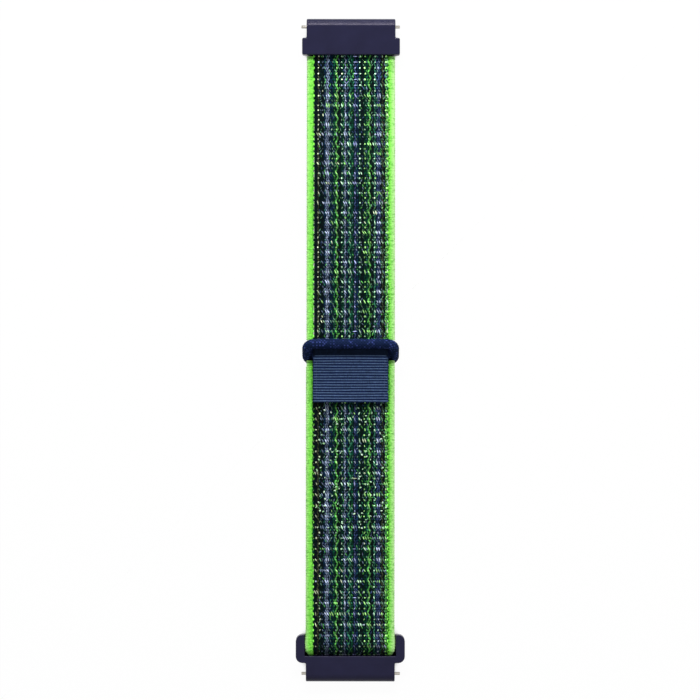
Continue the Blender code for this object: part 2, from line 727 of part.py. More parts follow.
def tab_seam():
    z = LONG_REF_Z + LAYER_GAP / 2 + TAB_THICKNESS + THREAD_LIFT + THREAD_RADIUS
    side = TAB_HALF - TAB_SEAM_INSET
    end = TAB_END_Y + TAB_SEAM_INSET
    places = ((-side, RING_AXIS_Y), (-side, end), (side, end), (side, RING_AXIS_Y))
    corners = [Vector((x, y, z)) for x, y in places]
    return wire("tab_seam_thread", stitched(corners, 1), THREAD_RADIUS, 1, THREAD_BLUE)


def fold_seam(name, bar_y, away):
    """The seam under a flap, along X, that holds it to the strap above."""
    path = fold_path(bar_y, away, 0)
    z = path[0].y - FACE_THICKNESS / 2 - THREAD_LIFT - THREAD_RADIUS
    y = bar_y + away * FLAP_LENGTH * SEAM_FLAP_SHARE
    half = CORE_HALF - SEAM_INSET
    corners = [Vector((-half, y, z)), Vector((half, y, z))]
    return wire(name, stitched(corners, -1), THREAD_RADIUS, 1, THREAD_BLUE)


# Joints


def joint_axis(name, x, y, z):
    """An empty on a joint's axis, which carries what the joint moves."""
    empty = add_object(name, None)
    empty.location = (x, y, z)
    return empty


def carry(parent, children):
    """Parents pieces to an axis without moving them."""
    back = Matrix.Translation(parent.location).inverted()
    for child in children:
        child.parent = parent
        child.matrix_parent_inverse = back


def main():
    clear_scene()
    short_face()
    short_lining()
    short_edge("short_strap_edge_left", -1)
    short_edge("short_strap_edge_right", 1)
    fold_seam("ring_fold_seam_thread", RING_AXIS_Y, -1)
    fold_seam("bar_fold_seam_thread", BAR_Y, 1)

    upper_connector()
    upper_tip = spring_bar("upper", LUG_AXIS_Y, -1)
    long_face()
    long_lining()
    long_edge("long_strap_edge_left", -1)
    long_edge("long_strap_edge_right", 1)
    retainer_rod()
    pull_tab()
    hook_patch()
    tab_seam()

    lower_connector()
    lower_tip = spring_bar("lower", -LUG_AXIS_Y, 1)

    ring_hinge = joint_axis("keeper_ring_axis", 0, RING_AXIS_Y, MID_Z)
    carry(ring_hinge, keeper_ring())
    connector_hinge = joint_axis("lower_connector_axis", 0, BAR_Y, MID_Z)
    strap_slide = joint_axis("tighten_axis", 0, RING_AXIS_Y, LONG_REF_Z)
    held = {strap_slide: ("upper_", "long_", "pull_", "hook_", "tab_", "strap_retainer")}
    held[connector_hinge] = ("lower_",)
    upper_slide = joint_axis("upper_release_axis", knob_x(-1), LUG_AXIS_Y, MID_Z)
    lower_slide = joint_axis("lower_release_axis", knob_x(1), -LUG_AXIS_Y, MID_Z)
    carry(upper_slide, upper_tip)
    carry(lower_slide, lower_tip)
    for axis, starts in held.items():
        free = [o for o in bpy.data.objects if not o.parent and o.data and o.name.startswith(starts)]
        carry(axis, free)
    carry(strap_slide, [upper_slide])
    carry(connector_hinge, [lower_slide])


main()
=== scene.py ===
import json
import random
from collections import namedtuple
from math import atan2, cos, floor, hypot, pi, radians, sin

import bmesh
import bpy
from bpy.props import FloatProperty, FloatVectorProperty, IntProperty, PointerProperty
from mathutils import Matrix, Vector


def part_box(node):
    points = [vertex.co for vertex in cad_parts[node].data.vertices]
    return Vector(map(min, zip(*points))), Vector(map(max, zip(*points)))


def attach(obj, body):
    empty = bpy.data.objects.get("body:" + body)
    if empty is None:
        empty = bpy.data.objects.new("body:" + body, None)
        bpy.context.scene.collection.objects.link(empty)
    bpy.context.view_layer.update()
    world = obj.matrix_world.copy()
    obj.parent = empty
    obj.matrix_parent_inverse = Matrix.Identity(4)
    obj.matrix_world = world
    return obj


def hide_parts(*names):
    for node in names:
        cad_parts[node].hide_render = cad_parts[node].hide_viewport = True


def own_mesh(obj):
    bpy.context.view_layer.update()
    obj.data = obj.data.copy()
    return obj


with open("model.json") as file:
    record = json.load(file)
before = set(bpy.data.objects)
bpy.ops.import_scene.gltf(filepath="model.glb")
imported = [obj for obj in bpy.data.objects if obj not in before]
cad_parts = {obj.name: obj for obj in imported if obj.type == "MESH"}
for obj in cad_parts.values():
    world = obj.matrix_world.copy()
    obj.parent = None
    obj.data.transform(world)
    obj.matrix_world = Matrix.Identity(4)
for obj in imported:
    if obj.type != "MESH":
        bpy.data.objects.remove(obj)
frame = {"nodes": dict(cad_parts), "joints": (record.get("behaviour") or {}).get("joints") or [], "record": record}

bl_info = {
    "name": "Woven watch strap dresser",
    "version": (1, 0, 0),
    "blender": (4, 5, 0),
    "location": "3D View > Sidebar > Strap",
    "description": "Weaves, binds and finishes a hook and loop watch strap on its packed frame",
    "category": "Object",
}

BODY_OF = {n: b for b, nodes in frame["record"]["behaviour"]["bodies"].items() for n in nodes}
JOINTS = {joint["name"]: joint for joint in frame["joints"]}

# Places that the frame gives
CORE_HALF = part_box("short_strap_face")[1].x
SHORT_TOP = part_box("short_strap_face")[1].z
LONG_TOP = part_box("long_strap_face")[1].z
EDGE_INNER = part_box("short_strap_edge_right")[0].x
EDGE_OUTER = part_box("short_strap_edge_right")[1].x
RING_Y, MID_Z = JOINTS["keeper_ring_tilt"]["pos_m"][1:]
BAR_Y = JOINTS["lower_connector_swing"]["pos_m"][1]
TIGHTEN = JOINTS["tighten"]["range_m"][1]
MOUTH_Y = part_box("upper_lug_connector")[0].y
JOIN_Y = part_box("long_strap_face")[0].y
LONG_EDGE_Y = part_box("long_strap_edge_right")[0].y
TAB_LOW, TAB_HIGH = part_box("pull_tab_cover")
RING_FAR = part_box("keeper_ring_sleeve")[1]

# Layers of the bands, as the frame has them
FACE = 0.0010
LINING = 0.0009
GAP = 0.0001
SHORT_REF = SHORT_TOP - FACE - GAP / 2
LONG_REF = LONG_TOP - FACE - GAP / 2
END_REF = MID_Z - FACE / 2 - GAP / 2

# The short strap's folds, and where the long strap slopes down to its connector
FOLD_MIDDLE = SHORT_TOP - MID_Z - FACE / 2
FOLD_SWELL = 0.00014
FLAP_RISE = 0.0050
FLAP_LENGTH = 0.0092
DROP_START = 0.0398
DROP_END = 0.0717

# The ring: its sleeve's radius and corners, and how far its middle line reaches from its rear bar
RING_RADIUS = 0.0012
RING_CORNER = 0.0020
RING_ARM = RING_FAR.x - RING_RADIUS
RING_REACH = RING_FAR.y - RING_RADIUS - RING_Y
RING_RISE = RING_FAR.z - RING_RADIUS - MID_Z
NECK_HALF = RING_ARM - RING_RADIUS + 0.00003

# The cloth layers: their longest step, the ground's depth in stitch heights, and their rounded sides
CLOTH_STEP = 0.0012
GROUND_DROP_SHARE = 0.6
SIDE_ROUNDING = 0.0001

# The stitches: how deep they are set, how near the floor they come, and the painted shade that darkens them at the
# lower fold, in the connector's slot
SINK = 0.00008
FLOOR_SHARE = 0.65
FOLD_PAINTED_SHADE = 0.35
FOLD_SHADE_Y = BAR_Y + 0.0003

HALF_TURN = pi
CAMERA_SHIFT = (-0.00016, 0.00005)

# Yarns: the letters that the stripe patterns below are written in
YARNS = {
    "K": "black",
    "P": "pine",
    "N": "navy",
    "S": "slate",
    "G": "leaf",
    "T": "teal",
    "V": "violet",
    "U": "umber",
    "c": "cream",
    "m": "mint",
    "p": "periwinkle",
    "l": "lime",
    "v": "lavender",
    "h": "haze",
    "n": "neon",
    "d": "moss",
}
# Stripes across a strap: place, yarn, paler yarn, how the paler yarn shows, yarn of the gap after it
STRIPES = [
    (-0.00805, "U", "c", "dots", "K"),
    (-0.00695, "K", "S", "slashes", "N"),
    (-0.00580, "S", "p", "pairs", "N"),
    (-0.00465, "N", "h", "slashes", "P"),
    (-0.00350, "G", "l", "zigzag", "K"),
    (-0.00220, "P", "m", "dots", "P"),
    (-0.00140, "S", "p", "slashes", "N"),
    (-0.00028, "T", "m", "zigzag", "P"),
    (0.00105, "V", "v", "dashes", "N"),
    (0.00220, "P", "m", "dots", "K"),
    (0.00345, "P", "l", "dots", "P"),
    (0.00455, "G", "l", "zigzag", "K"),
    (0.00590, "T", "m", "dots", "N"),
    (0.00690, "V", "p", "pairs", "K"),
    (0.00785, "U", "h", "slashes", "K"),
    (0.00872, "G", "l", "dots", "G"),
]
# Half the distance between the two floats of a pair
PAIR = 0.00027

# A place along a strap: its y and z, the surface's tilt there, and the distance walked to it
Row = namedtuple("Row", "y z tilt walked", defaults=(0.0, 0.0))


# Settings


def srgb(red, green, blue):
    """A colour as a screen shows it, 0 to 255, in the linear values that Blender works in."""
    return tuple(((v / 255 + 0.055) / 1.055) ** 2.4 if v > 10 else v / 3294.6 for v in (red, green, blue))


def number(name, default, description, **kind):
    return FloatProperty(name=name, description=description, default=default, **kind)


def length(name, default, description):
    return number(name, default, description, min=0, unit="LENGTH", precision=5)


def share(name, default, description):
    return number(name, default, description, min=0, max=1, subtype="FACTOR")


def whole(name, default, description, least=0):
    return IntProperty(name=name, description=description, default=default, min=least)


def colour(name, shade, description):
    return FloatVectorProperty(
        name=name, description=description, default=srgb(*shade), subtype="COLOR", min=0, max=1
    )


class YarnSettings(bpy.types.PropertyGroup):
    haze: colour("Haze", (104, 146, 122), "Dim floats between the stripes")
    black: colour("Black", (6, 22, 19), "Darkest yarn, seen between the stripes")
    pine: colour("Pine", (8, 58, 40), "Dark green yarn")
    navy: colour("Navy", (13, 38, 62), "Dark blue yarn")
    slate: colour("Slate", (112, 128, 154), "Grey blue yarn of the wide stripe")
    leaf: colour("Leaf", (92, 176, 84), "Green yarn of the two zigzag stripes")
    teal: colour("Teal", (54, 120, 92), "Blue green yarn")
    violet: colour("Violet", (56, 72, 112), "Violet yarn")
    umber: colour("Umber", (62, 66, 44), "Brown yarn beside the edges")
    cream: colour("Cream", (220, 232, 196), "Pale floats on brown")
    mint: colour("Mint", (208, 252, 214), "Pale floats on dark green")
    periwinkle: colour("Periwinkle", (204, 216, 244), "Pale floats on blue")
    lime: colour("Lime", (184, 250, 148), "Pale floats on green")
    lavender: colour("Lavender", (168, 176, 226), "Pale floats on violet")
    neon: colour("Neon", (142, 244, 92), "Bound edges and their teeth")
    moss: colour("Moss", (26, 84, 22), "Dark specks in the bound edges")


class WeaveSettings(bpy.types.PropertyGroup):
    opening_rows: whole("Opening rows", 7, "Dotted rows beside the connector")
    opening_row: length("Opening row", 0.00144, "Distance between the dotted rows")
    long_row: length("Long strap row", 0.00122, "Distance between stitch rows on the long strap")
    short_row: length("Short strap row", 0.00134, "Distance between stitch rows on the short strap")
    strand_width: length("Strand width", 0.00034, "Width of a strand of a stripe")
    stitch_height: length("Stitch height", 0.00040, "Thickness of a ground stitch")
    float_width: length("Float width", 0.00030, "Thickness of a pale float")
    float_length: length("Float length", 0.00112, "Length of a pale float")
    dot_size: length("Dot size", 0.00048, "Length of a pale dot")
    float_share: share("Floats", 0.9, "Share of stripes that float in a pattern row")
    stray_share: share("Stray floats", 0.40, "Share of stripes that float in the other rows")
    haze_share: share("Dim floats", 0.6, "Share of gaps between stripes with a dim float")
    slant: number("Slant", radians(27), "Lean of a stitch", subtype="ANGLE")
    loop_size: length("Loop size", 0.00056, "Width of a grip loop")
    loop_pitch: length("Loop pitch", 0.00140, "Distance between grip loops along their lines")
    pile_density: number("Pile density", 2300000, "Loops of the lining for each square metre", min=0)
    pile_spacing: length("Pile spacing", 0.00045, "Least distance between two loops of the lining")
    seed: whole("Seed", 7, "Seed of the random draws")


class EdgeSettings(bpy.types.PropertyGroup):
    rib: length("Rib pitch", 0.00062, "Distance between the ribs of the bound edges")
    relief: length("Relief", 0.00009, "Height of the ribs of the bound edges")
    bulge: length("Corner bulge", 0.00024, "How far the edges swell at the lower fold")
    spread: length("Spread", 0.00014, "How much wider the short strap's left edge is")
    # Painted highlight: on the right edges the pale outer colour reaches further in
    right_edge_highlight: share("Sheen", 0.20, "How much further the pale fuzz reaches on the right edge")
    slack: length("Slack", 0.00008, "How far the yarn stays inside the edge's full width")
    tuck: length("Corner tuck", 0.00070, "How far the edges draw in below the lower fold")


class RingSettings(bpy.types.PropertyGroup):
    strands: whole("Strands", 18, "Strands round the sleeve", 3)
    pitch: length("Strand pitch", 0.00038, "Distance between strands along the sleeve")
    relief: length("Relief", 0.00010, "Height of a strand")
    navy: colour("Navy", (17, 32, 66), "Colour of the sleeve")
    fleck: colour("Fleck", (60, 74, 142), "Brighter strands of the sleeve")


class TabSettings(bpy.types.PropertyGroup):
    rib: length("Rib pitch", 0.00067, "Distance between the ribs of the pull tab")
    relief: length("Relief", 0.00017, "Height of a rib")
    # The tab's stretch beside the ring, where the ribs are nearly flat and painted shadow of the ring darkens it
    painted_ring_shadow: length("Hem", 0.00125, "Plain dark part of the pull tab beside the ring")
    ridge: colour("Ridge", (88, 112, 148), "Colour on top of a rib")
    # Groove: painted shade between two ribs, darker than the ribs' own colour
    groove_shade: colour("Groove", (15, 30, 67), "Colour between two ribs")


class StageSettings(bpy.types.PropertyGroup):
    distance: length("Camera distance", 0.9, "Height of the camera above the strap")
    frame_width: length("Frame width", 0.1735, "Width that the picture takes in at the strap")
    roll: number("Roll", radians(0.07), "Turn of the camera", subtype="ANGLE")
    key_power: number("Key", 4.3, "Power of the key light", subtype="POWER")
    rim_power: number("Rim", 1.8, "Power of the low light", subtype="POWER")
    side_power: number("Sides", 0.5, "Power of each side light", subtype="POWER")
    bounce: share("Bounce", 0.5, "How much light the floor sends up under the strap")
    ambient: number("Ambient", 0.18, "Strength of the world")


SETTINGS = {
    "yarns": YarnSettings,
    "weave": WeaveSettings,
    "edges": EdgeSettings,
    "ring": RingSettings,
    "tab": TabSettings,
    "stage": StageSettings,
}


def settings(group):
    return getattr(bpy.context.scene, "strap_" + group)


# Node trees


def put(tree, kind, inputs=None, **values):
    """Adds a node; inputs are sockets to link from, or values, by the input's name or number."""
    node = tree.nodes.new(kind)
    for key, value in values.items():
        setattr(node, key, value)
    for key, value in (inputs or {}).items():
        if isinstance(value, bpy.types.NodeSocket):
            tree.links.new(value, node.inputs[key])
        else:
            node.inputs[key].default_value = value
    return node


def maths(tree, operation, *values):
    return put(tree, "ShaderNodeMath", dict(enumerate(values)), operation=operation).outputs[0]


def span(tree, value, low, high, to_low=0.0, to_high=1.0):
    """Maps low..high to another range."""
    inputs = {"Value": value, "From Min": low, "From Max": high, "To Min": to_low, "To Max": to_high}
    return put(tree, "ShaderNodeMapRange", inputs).outputs[0]


def grey(tree, value):
    return put(tree, "ShaderNodeCombineColor", dict.fromkeys(range(3), value)).outputs[0]


def seen(tree):
    """One where the camera sees a surface, straight or through gloss or glass, and zero elsewhere."""
    path = put(tree, "ShaderNodeLightPath").outputs
    direct = maths(tree, "MAXIMUM", path["Is Camera Ray"], path["Is Glossy Ray"])
    return maths(tree, "MAXIMUM", direct, path["Is Transmission Ray"])


class Finish:
    """A node material that is being put together round its Principled shader."""

    def __init__(self, name, rough, gloss=0.2, others=None):
        self.material = bpy.data.materials.new(name)
        self.material.use_nodes = True
        self.tree = self.material.node_tree
        self.shader = self.tree.nodes["Principled BSDF"]
        self.place = put(self.tree, "ShaderNodeTexCoord").outputs["Object"]
        values = {"Roughness": rough, "Specular IOR Level": gloss} | (others or {})
        for key, value in values.items():
            self.shader.inputs[key].default_value = value

    def attribute(self, name):
        return put(self.tree, "ShaderNodeAttribute", attribute_name=name).outputs["Fac"]

    def noise(self, size, detail=2.0, stretch=(1, 1, 1), rough=0.5):
        """Noise whose blobs are about size metres across."""
        spread = put(self.tree, "ShaderNodeMapping", {"Vector": self.place, "Scale": stretch})
        inputs = {"Vector": spread.outputs[0], "Scale": 1 / size, "Detail": detail, "Roughness": rough}
        return put(self.tree, "ShaderNodeTexNoise", inputs).outputs["Fac"]

    def times(self, first, second):
        return maths(self.tree, "MULTIPLY", first, second)

    def span(self, *values):
        return span(self.tree, *values)

    def eased(self, noise, low, high):
        """Maps the middle stretch of a noise, where most of it lies, to another range."""
        return self.span(noise, 0.3, 0.7, low, high)

    def blend(self, factor, first, second, mode="MIX"):
        first, second = (c if isinstance(c, bpy.types.NodeSocket) else (*c, 1.0) for c in (first, second))
        inputs = {0: factor, 6: first, 7: second}
        return put(self.tree, "ShaderNodeMix", inputs, data_type="RGBA", blend_type=mode).outputs[2]

    def shade(self, base, factor):
        """A colour made darker or lighter by a factor."""
        return self.blend(1.0, base, grey(self.tree, factor), "MULTIPLY")

    def done(self, base, height, depth, rough=None):
        """Links the colour, the bump and the roughness, and returns the material."""
        target = self.shader.inputs
        if isinstance(base, bpy.types.NodeSocket):
            self.tree.links.new(base, target["Base Color"])
        else:
            target["Base Color"].default_value = (*base, 1.0)
        bump = put(self.tree, "ShaderNodeBump", {"Height": height, "Distance": depth, "Strength": 1.0})
        self.tree.links.new(bump.outputs[0], target["Normal"])
        if rough:
            self.tree.links.new(rough, target["Roughness"])
        return self.material


def moulded_finish():
    made = Finish("moulded_navy_plastic", 0.38, 0.16, {"Specular Tint": (0.92, 0.84, 1.0, 1.0)})
    grain = made.noise(size=0.00016, detail=3.0)
    cloud = made.noise(size=0.0040)
    base = made.shade((0.0118, 0.0122, 0.0370), made.eased(cloud, 0.90, 1.10))
    return made.done(base, grain, depth=0.000012, rough=made.eased(grain, 0.22, 0.31))


def metal_finish(name, base, low, high):
    made = Finish(name, low, 0.5, {"Metallic": 1.0})
    turning = made.noise(size=0.0002, stretch=(4, 1, 1))
    return made.done(base, turning, depth=0.000004, rough=made.eased(turning, low, high))


def yarn_finish():
    """The yarns of the weave: each stitch says by its attributes which yarn it is, and how light; each stitch gets
    a painted highlight in its middle and painted shade at its tips.
    """
    made = Finish("woven_yarn", 0.75, 0.045)
    ramp = put(made.tree, "ShaderNodeValToRGB", {0: made.attribute("yarn")})
    ramp.color_ramp.interpolation = "CONSTANT"
    stops = ramp.color_ramp.elements
    for i, name in enumerate(YARNS.values()):
        stop = stops[0] if i == 0 else stops.new(i / len(YARNS))
        stop.color = (*getattr(settings("yarns"), name), 1.0)
    stops.remove(stops[-1])
    fibre = made.noise(size=0.00011, stretch=(2.2, 0.7, 1))
    by_chance = made.span(made.attribute("shade"), 0, 1, 0.45, 1.50)
    light = made.times(by_chance, made.attribute("light"))
    light = made.times(light, made.eased(fibre, 0.8, 1.2))
    # Painted highlight in the middle of each stitch, painted shade at its tips
    light = made.times(light, made.span(made.attribute("middle"), 0, 1, 0.50, 1.22))
    return made.done(made.shade(ramp.outputs[0], light), fibre, depth=0.00003)


def ground_finish():
    made = Finish("ground_cloth", 0.9, 0.05)
    weave = made.noise(size=0.0003, detail=3.0)
    base = made.blend(made.span(weave, 0.35, 0.65), (0.0007, 0.0047, 0.0040), (0.0020, 0.0058, 0.0130))
    return made.done(base, weave, depth=0.00006)


def pile_finish():
    """Soft loops of the lining, in greens and blues."""
    made = Finish("looped_pile", 0.95, 0.05, {"Sheen Weight": 0.12})
    tuft = made.noise(size=0.0006, detail=3.0)
    base = made.blend(made.span(tuft, 0.35, 0.65), (0.005, 0.015, 0.020), (0.024, 0.048, 0.080))
    light = made.span(made.attribute("shade"), 0, 1, 0.7, 1.5)
    return made.done(made.shade(base, light), tuft, depth=0.00006)


def loop_finish():
    made = Finish("grip_loops", 0.6, 0.1)
    fibre = made.noise(size=0.00012)
    base = made.blend(made.attribute("shade"), (0.440, 0.800, 0.420), (0.760, 0.960, 0.780))
    return made.done(made.shade(base, made.eased(fibre, 0.85, 1.15)), fibre, depth=0.00002)


def neon_finish():
    """Bound edge yarn: blotchy like a fine knit, with a painted highlight along its outer side."""
    made = Finish("neon_bound_edge", 0.8, 0.06)
    pale, dark = srgb(204, 250, 172), srgb(74, 190, 40)
    knit = made.noise(size=0.00030, detail=3.0, stretch=(1, 1.3, 1), rough=0.65)
    blotch = made.noise(size=0.00075)
    across = made.attribute("across")
    # Painted highlight: the outer side of the edge is blended towards pale green
    rim_highlight = made.span(across, 0.52, 1.02, 0.0, 0.85)
    base = made.blend(rim_highlight, tuple(settings("yarns").neon), pale)
    deep = maths(made.tree, "ADD", blotch, made.span(across, 0.0, 0.45, 0.13, 0.0))
    base = made.blend(made.span(deep, 0.50, 0.70, 0.0, 0.62), base, dark)
    light = made.span(knit, 0.25, 0.75, 0.60, 1.16)
    return made.done(made.shade(base, light), knit, depth=0.00009)


def sleeve_finish():
    """The ring's knit: some strands are brighter, and painted shade darkens the grooves between all strands."""
    made = Finish("knitted_sleeve", 0.80, 0.06)
    ring = settings("ring")
    height = made.attribute("height")
    fleck = made.times(made.span(made.attribute("strand"), 0.5, 1.0), made.span(height, 0.3, 0.9))
    base = made.blend(fleck, tuple(ring.navy), tuple(ring.fleck))
    fibre = made.noise(size=0.00010)
    # Painted shade: darker towards the grooves between strands
    light = made.times(made.span(height, 0.0, 0.7, 0.25, 1.0), made.eased(fibre, 0.8, 1.2))
    return made.done(made.shade(base, light), fibre, depth=0.00003)


def core_finish():
    made = Finish("moulded_ring_core", 0.5)
    return made.done((0.012, 0.012, 0.014), made.noise(size=0.0002), depth=0.00001)


def ribbon_finish():
    """The pull tab: pale ribs with painted shade in the grooves between them, warp threads across them, and the
    ring's painted shadow beside the ring.
    """
    made = Finish("ribbed_ribbon", 0.65, 0.06)
    tab = settings("tab")
    # Colour of the ring's painted shadow on the tab
    painted_ring_shadow = (0.0040, 0.0100, 0.0280)
    warp = made.noise(size=0.00030, detail=3.0, stretch=(1.0, 0.25, 1), rough=0.65)
    cloud = made.noise(size=0.0022)
    # Crests take the ridge colour; the lower parts take the painted groove shade
    crest = maths(made.tree, "POWER", made.attribute("ridge"), 2.6)
    base = made.blend(crest, tuple(tab.groove_shade), tuple(tab.ridge))
    # Painted shadow of the ring, blended over the tab beside the ring
    base = made.blend(made.attribute("painted_ring_shadow"), base, painted_ring_shadow)
    light = made.times(made.eased(warp, 0.55, 1.30), made.eased(cloud, 0.92, 1.08))
    return made.done(made.shade(base, light), warp, depth=0.00003)


def flecked_finish(name, rough, base, size, change, stretch=(1, 1, 1)):
    """One colour, made darker and lighter by fine noise."""
    made = Finish(name, rough)
    fleck = made.noise(size, stretch=stretch)
    return made.done(made.shade(base, made.eased(fleck, 1 - change, 1 + change)), fleck, depth=0.00002)


MAKERS = {
    "moulded": moulded_finish,
    "steel": lambda: metal_finish("polished_steel", (0.38, 0.36, 0.32), 0.28, 0.42),
    "spring": lambda: metal_finish("spring_steel", (0.42, 0.42, 0.43), 0.30, 0.45),
    "yarn": yarn_finish,
    "ground": ground_finish,
    "pile": pile_finish,
    "loops": loop_finish,
    "neon": neon_finish,
    "sleeve": sleeve_finish,
    "core": core_finish,
    "ribbon": ribbon_finish,
    "hooks": lambda: flecked_finish("hook_tape", 0.45, (0.018, 0.024, 0.050), 0.0003, 0.2),
    "thread": lambda: flecked_finish("seam_thread", 0.6, (0.030, 0.050, 0.130), 0.00007, 0.3, (1, 0.5, 1)),
}
made_finishes = {}


def finish(name):
    """The finish of that name, made when it is first asked for."""
    if name not in made_finishes:
        made_finishes[name] = MAKERS[name]()
    return made_finishes[name]


# Meshes


def mesh_of(name, bm):
    mesh = bpy.data.meshes.new(name)
    bm.to_mesh(mesh)
    bm.free()
    return mesh


def shown(name, data):
    """A new object in the scene."""
    thing = bpy.data.objects.new(name, data)
    bpy.context.scene.collection.objects.link(thing)
    return thing


def add_piece(name, mesh, finish_name, sharp_from):
    mesh.shade_smooth()
    mesh.set_sharp_from_angle(angle=radians(sharp_from))
    mesh.materials.clear()
    mesh.materials.append(finish(finish_name))
    return shown(name, mesh)


def settle(piece, node, stands_for=True):
    """Sets a piece on its node's body, and lets it stand for the node."""
    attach(piece, BODY_OF[node])
    if stands_for:
        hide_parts(node)
    return piece


def skin(name, rings, finish_name, values=None):
    """A smooth closed skin over rings of points; values are numbers for each point, by attribute name."""
    bm = bmesh.new()
    rows = [[bm.verts.new(p) for p in ring] for ring in rings]
    size = len(rows[0])
    for first, second in zip(rows, rows[1:]):
        for k in range(size):
            m = (k + 1) % size
            bm.faces.new((first[k], first[m], second[m], second[k]))
    bm.faces.new(rows[0][::-1])
    bm.faces.new(rows[-1])
    bmesh.ops.recalc_face_normals(bm, faces=bm.faces)
    mesh = mesh_of(name, bm)
    for key, numbers in (values or {}).items():
        mesh.attributes.new(key, "FLOAT", "POINT").data.foreach_set("value", numbers)
    return add_piece(name, mesh, finish_name, 50)


def smoothed(node, finish_name, sharp_from=38):
    """A copy of a rigid node whose loose triangles are joined and whose curves shade smoothly."""
    weld, flat = 0.000002, radians(0.6)
    bm = bmesh.new()
    bm.from_mesh(frame["nodes"][node].data)
    bmesh.ops.remove_doubles(bm, verts=bm.verts, dist=weld)
    bmesh.ops.dissolve_limit(bm, angle_limit=flat, verts=bm.verts, edges=bm.edges)
    name = node + "_finished"
    piece = add_piece(name, mesh_of(name, bm), finish_name, sharp_from)
    even_out = piece.modifiers.new("even_shading", "WEIGHTED_NORMAL")
    even_out.keep_sharp = True
    return settle(piece, node)


# Paths in the plane across the strap's width, as (y, z)


def smooth(t):
    """Rises from 0 to 1 as t does, with no corner at either end."""
    t = min(max(t, 0), 1)
    return t * t * (3 - 2 * t)


def arc(centre, radius, start, end, steps, swell=0.0):
    """Points round a centre; the radius grows by swell towards -Y."""
    angles = [start + (end - start) * i / steps for i in range(steps + 1)]
    radii = [radius + swell * max(0.0, -cos(a)) ** 2 for a in angles]
    return [Vector((centre[0] + r * cos(a), centre[1] + r * sin(a))) for a, r in zip(angles, radii)]


def fold_path(centre_y, away):
    """The middle of a folded end, from the flap's free end down and round the bar to the top."""
    bottom = MID_Z - FOLD_MIDDLE
    tucked = SHORT_REF - GAP / 2 - LINING - GAP - FACE / 2
    steps = 12
    path = [Vector((centre_y + away * FLAP_LENGTH, tucked))]
    for i in range(steps, 0, -1):
        z = bottom + (tucked - bottom) * smooth(i / steps)
        path.append(Vector((centre_y + away * FLAP_RISE * i / steps, z)))
    end = -HALF_TURN * 3 / 2 if away > 0 else HALF_TURN / 2
    return path + arc((centre_y, MID_Z), FOLD_MIDDLE, -HALF_TURN / 2, end, 28, FOLD_SWELL)


def short_path():
    return fold_path(RING_Y, -1) + fold_path(BAR_Y, 1)[::-1]


def long_height(t):
    """The height of the long strap's line at a share of the way down its slope."""
    return LONG_REF + (END_REF - LONG_REF) * smooth(t)


def long_path(start_y, end_y):
    """The line between the long strap's face and lining, from the tab to the connector."""
    steps, drop = 40, DROP_END - DROP_START
    path = [Vector((start_y, LONG_REF))]
    for i in range(steps + 1):
        y = DROP_START + drop * i / steps
        if start_y < y < end_y:
            path.append(Vector((y, long_height(i / steps))))
    return path + [Vector((end_y, long_height((end_y - DROP_START) / drop)))]


def heading(path, i):
    """The direction of a path at one of its points."""
    return (path[min(i + 1, len(path) - 1)] - path[max(i - 1, 0)]).normalized()


def left_of(along):
    return Vector((-along.y, along.x))


def moved(path, distance):
    """A path moved to its left by distance."""
    return [point + distance * left_of(heading(path, i)) for i, point in enumerate(path)]


def walk(path):
    """How far along a path each of its points is."""
    far = [0.0]
    for a, b in zip(path, path[1:]):
        far.append(far[-1] + (b - a).length)
    return far


def finely(path, step):
    """A path with extra points so that no two are further apart than step."""
    out = [path[0]]
    for a, b in zip(path, path[1:]):
        parts = max(1, round((b - a).length / step))
        out += [a + (b - a) * (i / parts) for i in range(1, parts + 1)]
    return out


def paced(path, pitch):
    """Rows at steps along a path whose outer side is its right; pitch gives the step at a distance."""
    out = []
    walked, wanted = 0.0, pitch(0) / 2
    for a, b in zip(path, path[1:]):
        step = (b - a).length
        while step > 0 and wanted <= walked + step:
            point = a + (b - a) * ((wanted - walked) / step)
            normal = -left_of((b - a) / step)
            out.append(Row(point.x, point.y, atan2(-normal.x, normal.y), wanted))
            wanted += pitch(wanted)
        walked += step
    return out


# Stitches, made by Geometry Nodes from points that carry their size, lean and yarn


def unit_object(name, bm):
    bmesh.ops.recalc_face_normals(bm, faces=bm.faces)
    return shown(name, mesh_of(name, bm))


def grain_object(name, sides=5, rows=3, belly=0.62):
    """A unit stitch: a plump grain that lies along Y."""
    bm = bmesh.new()
    # Middle: 1 in the grain's middle and 0 at its tips, which the yarn finish turns into painted highlight and
    # painted shade
    middle = bm.verts.layers.float.new("middle")
    tips = [bm.verts.new((0, end, 0)) for end in (-0.5, 0.5)]
    hoops = []
    for r in range(rows):
        v = (r + 0.5) / rows - 0.5
        width = (1 - (2 * v) ** 2) ** belly / 2
        turns = (2 * pi * k / sides for k in range(sides))
        hoops.append([bm.verts.new((width * cos(a), v, width * sin(a))) for a in turns])
        for vert in hoops[-1]:
            vert[middle] = 1 - (2 * v) ** 2
    for k in range(sides):
        m = (k + 1) % sides
        bm.faces.new((tips[0], hoops[0][k], hoops[0][m]))
        bm.faces.new((tips[1], hoops[-1][m], hoops[-1][k]))
        for first, second in zip(hoops, hoops[1:]):
            bm.faces.new((first[m], first[k], second[k], second[m]))
    return unit_object(name, bm)


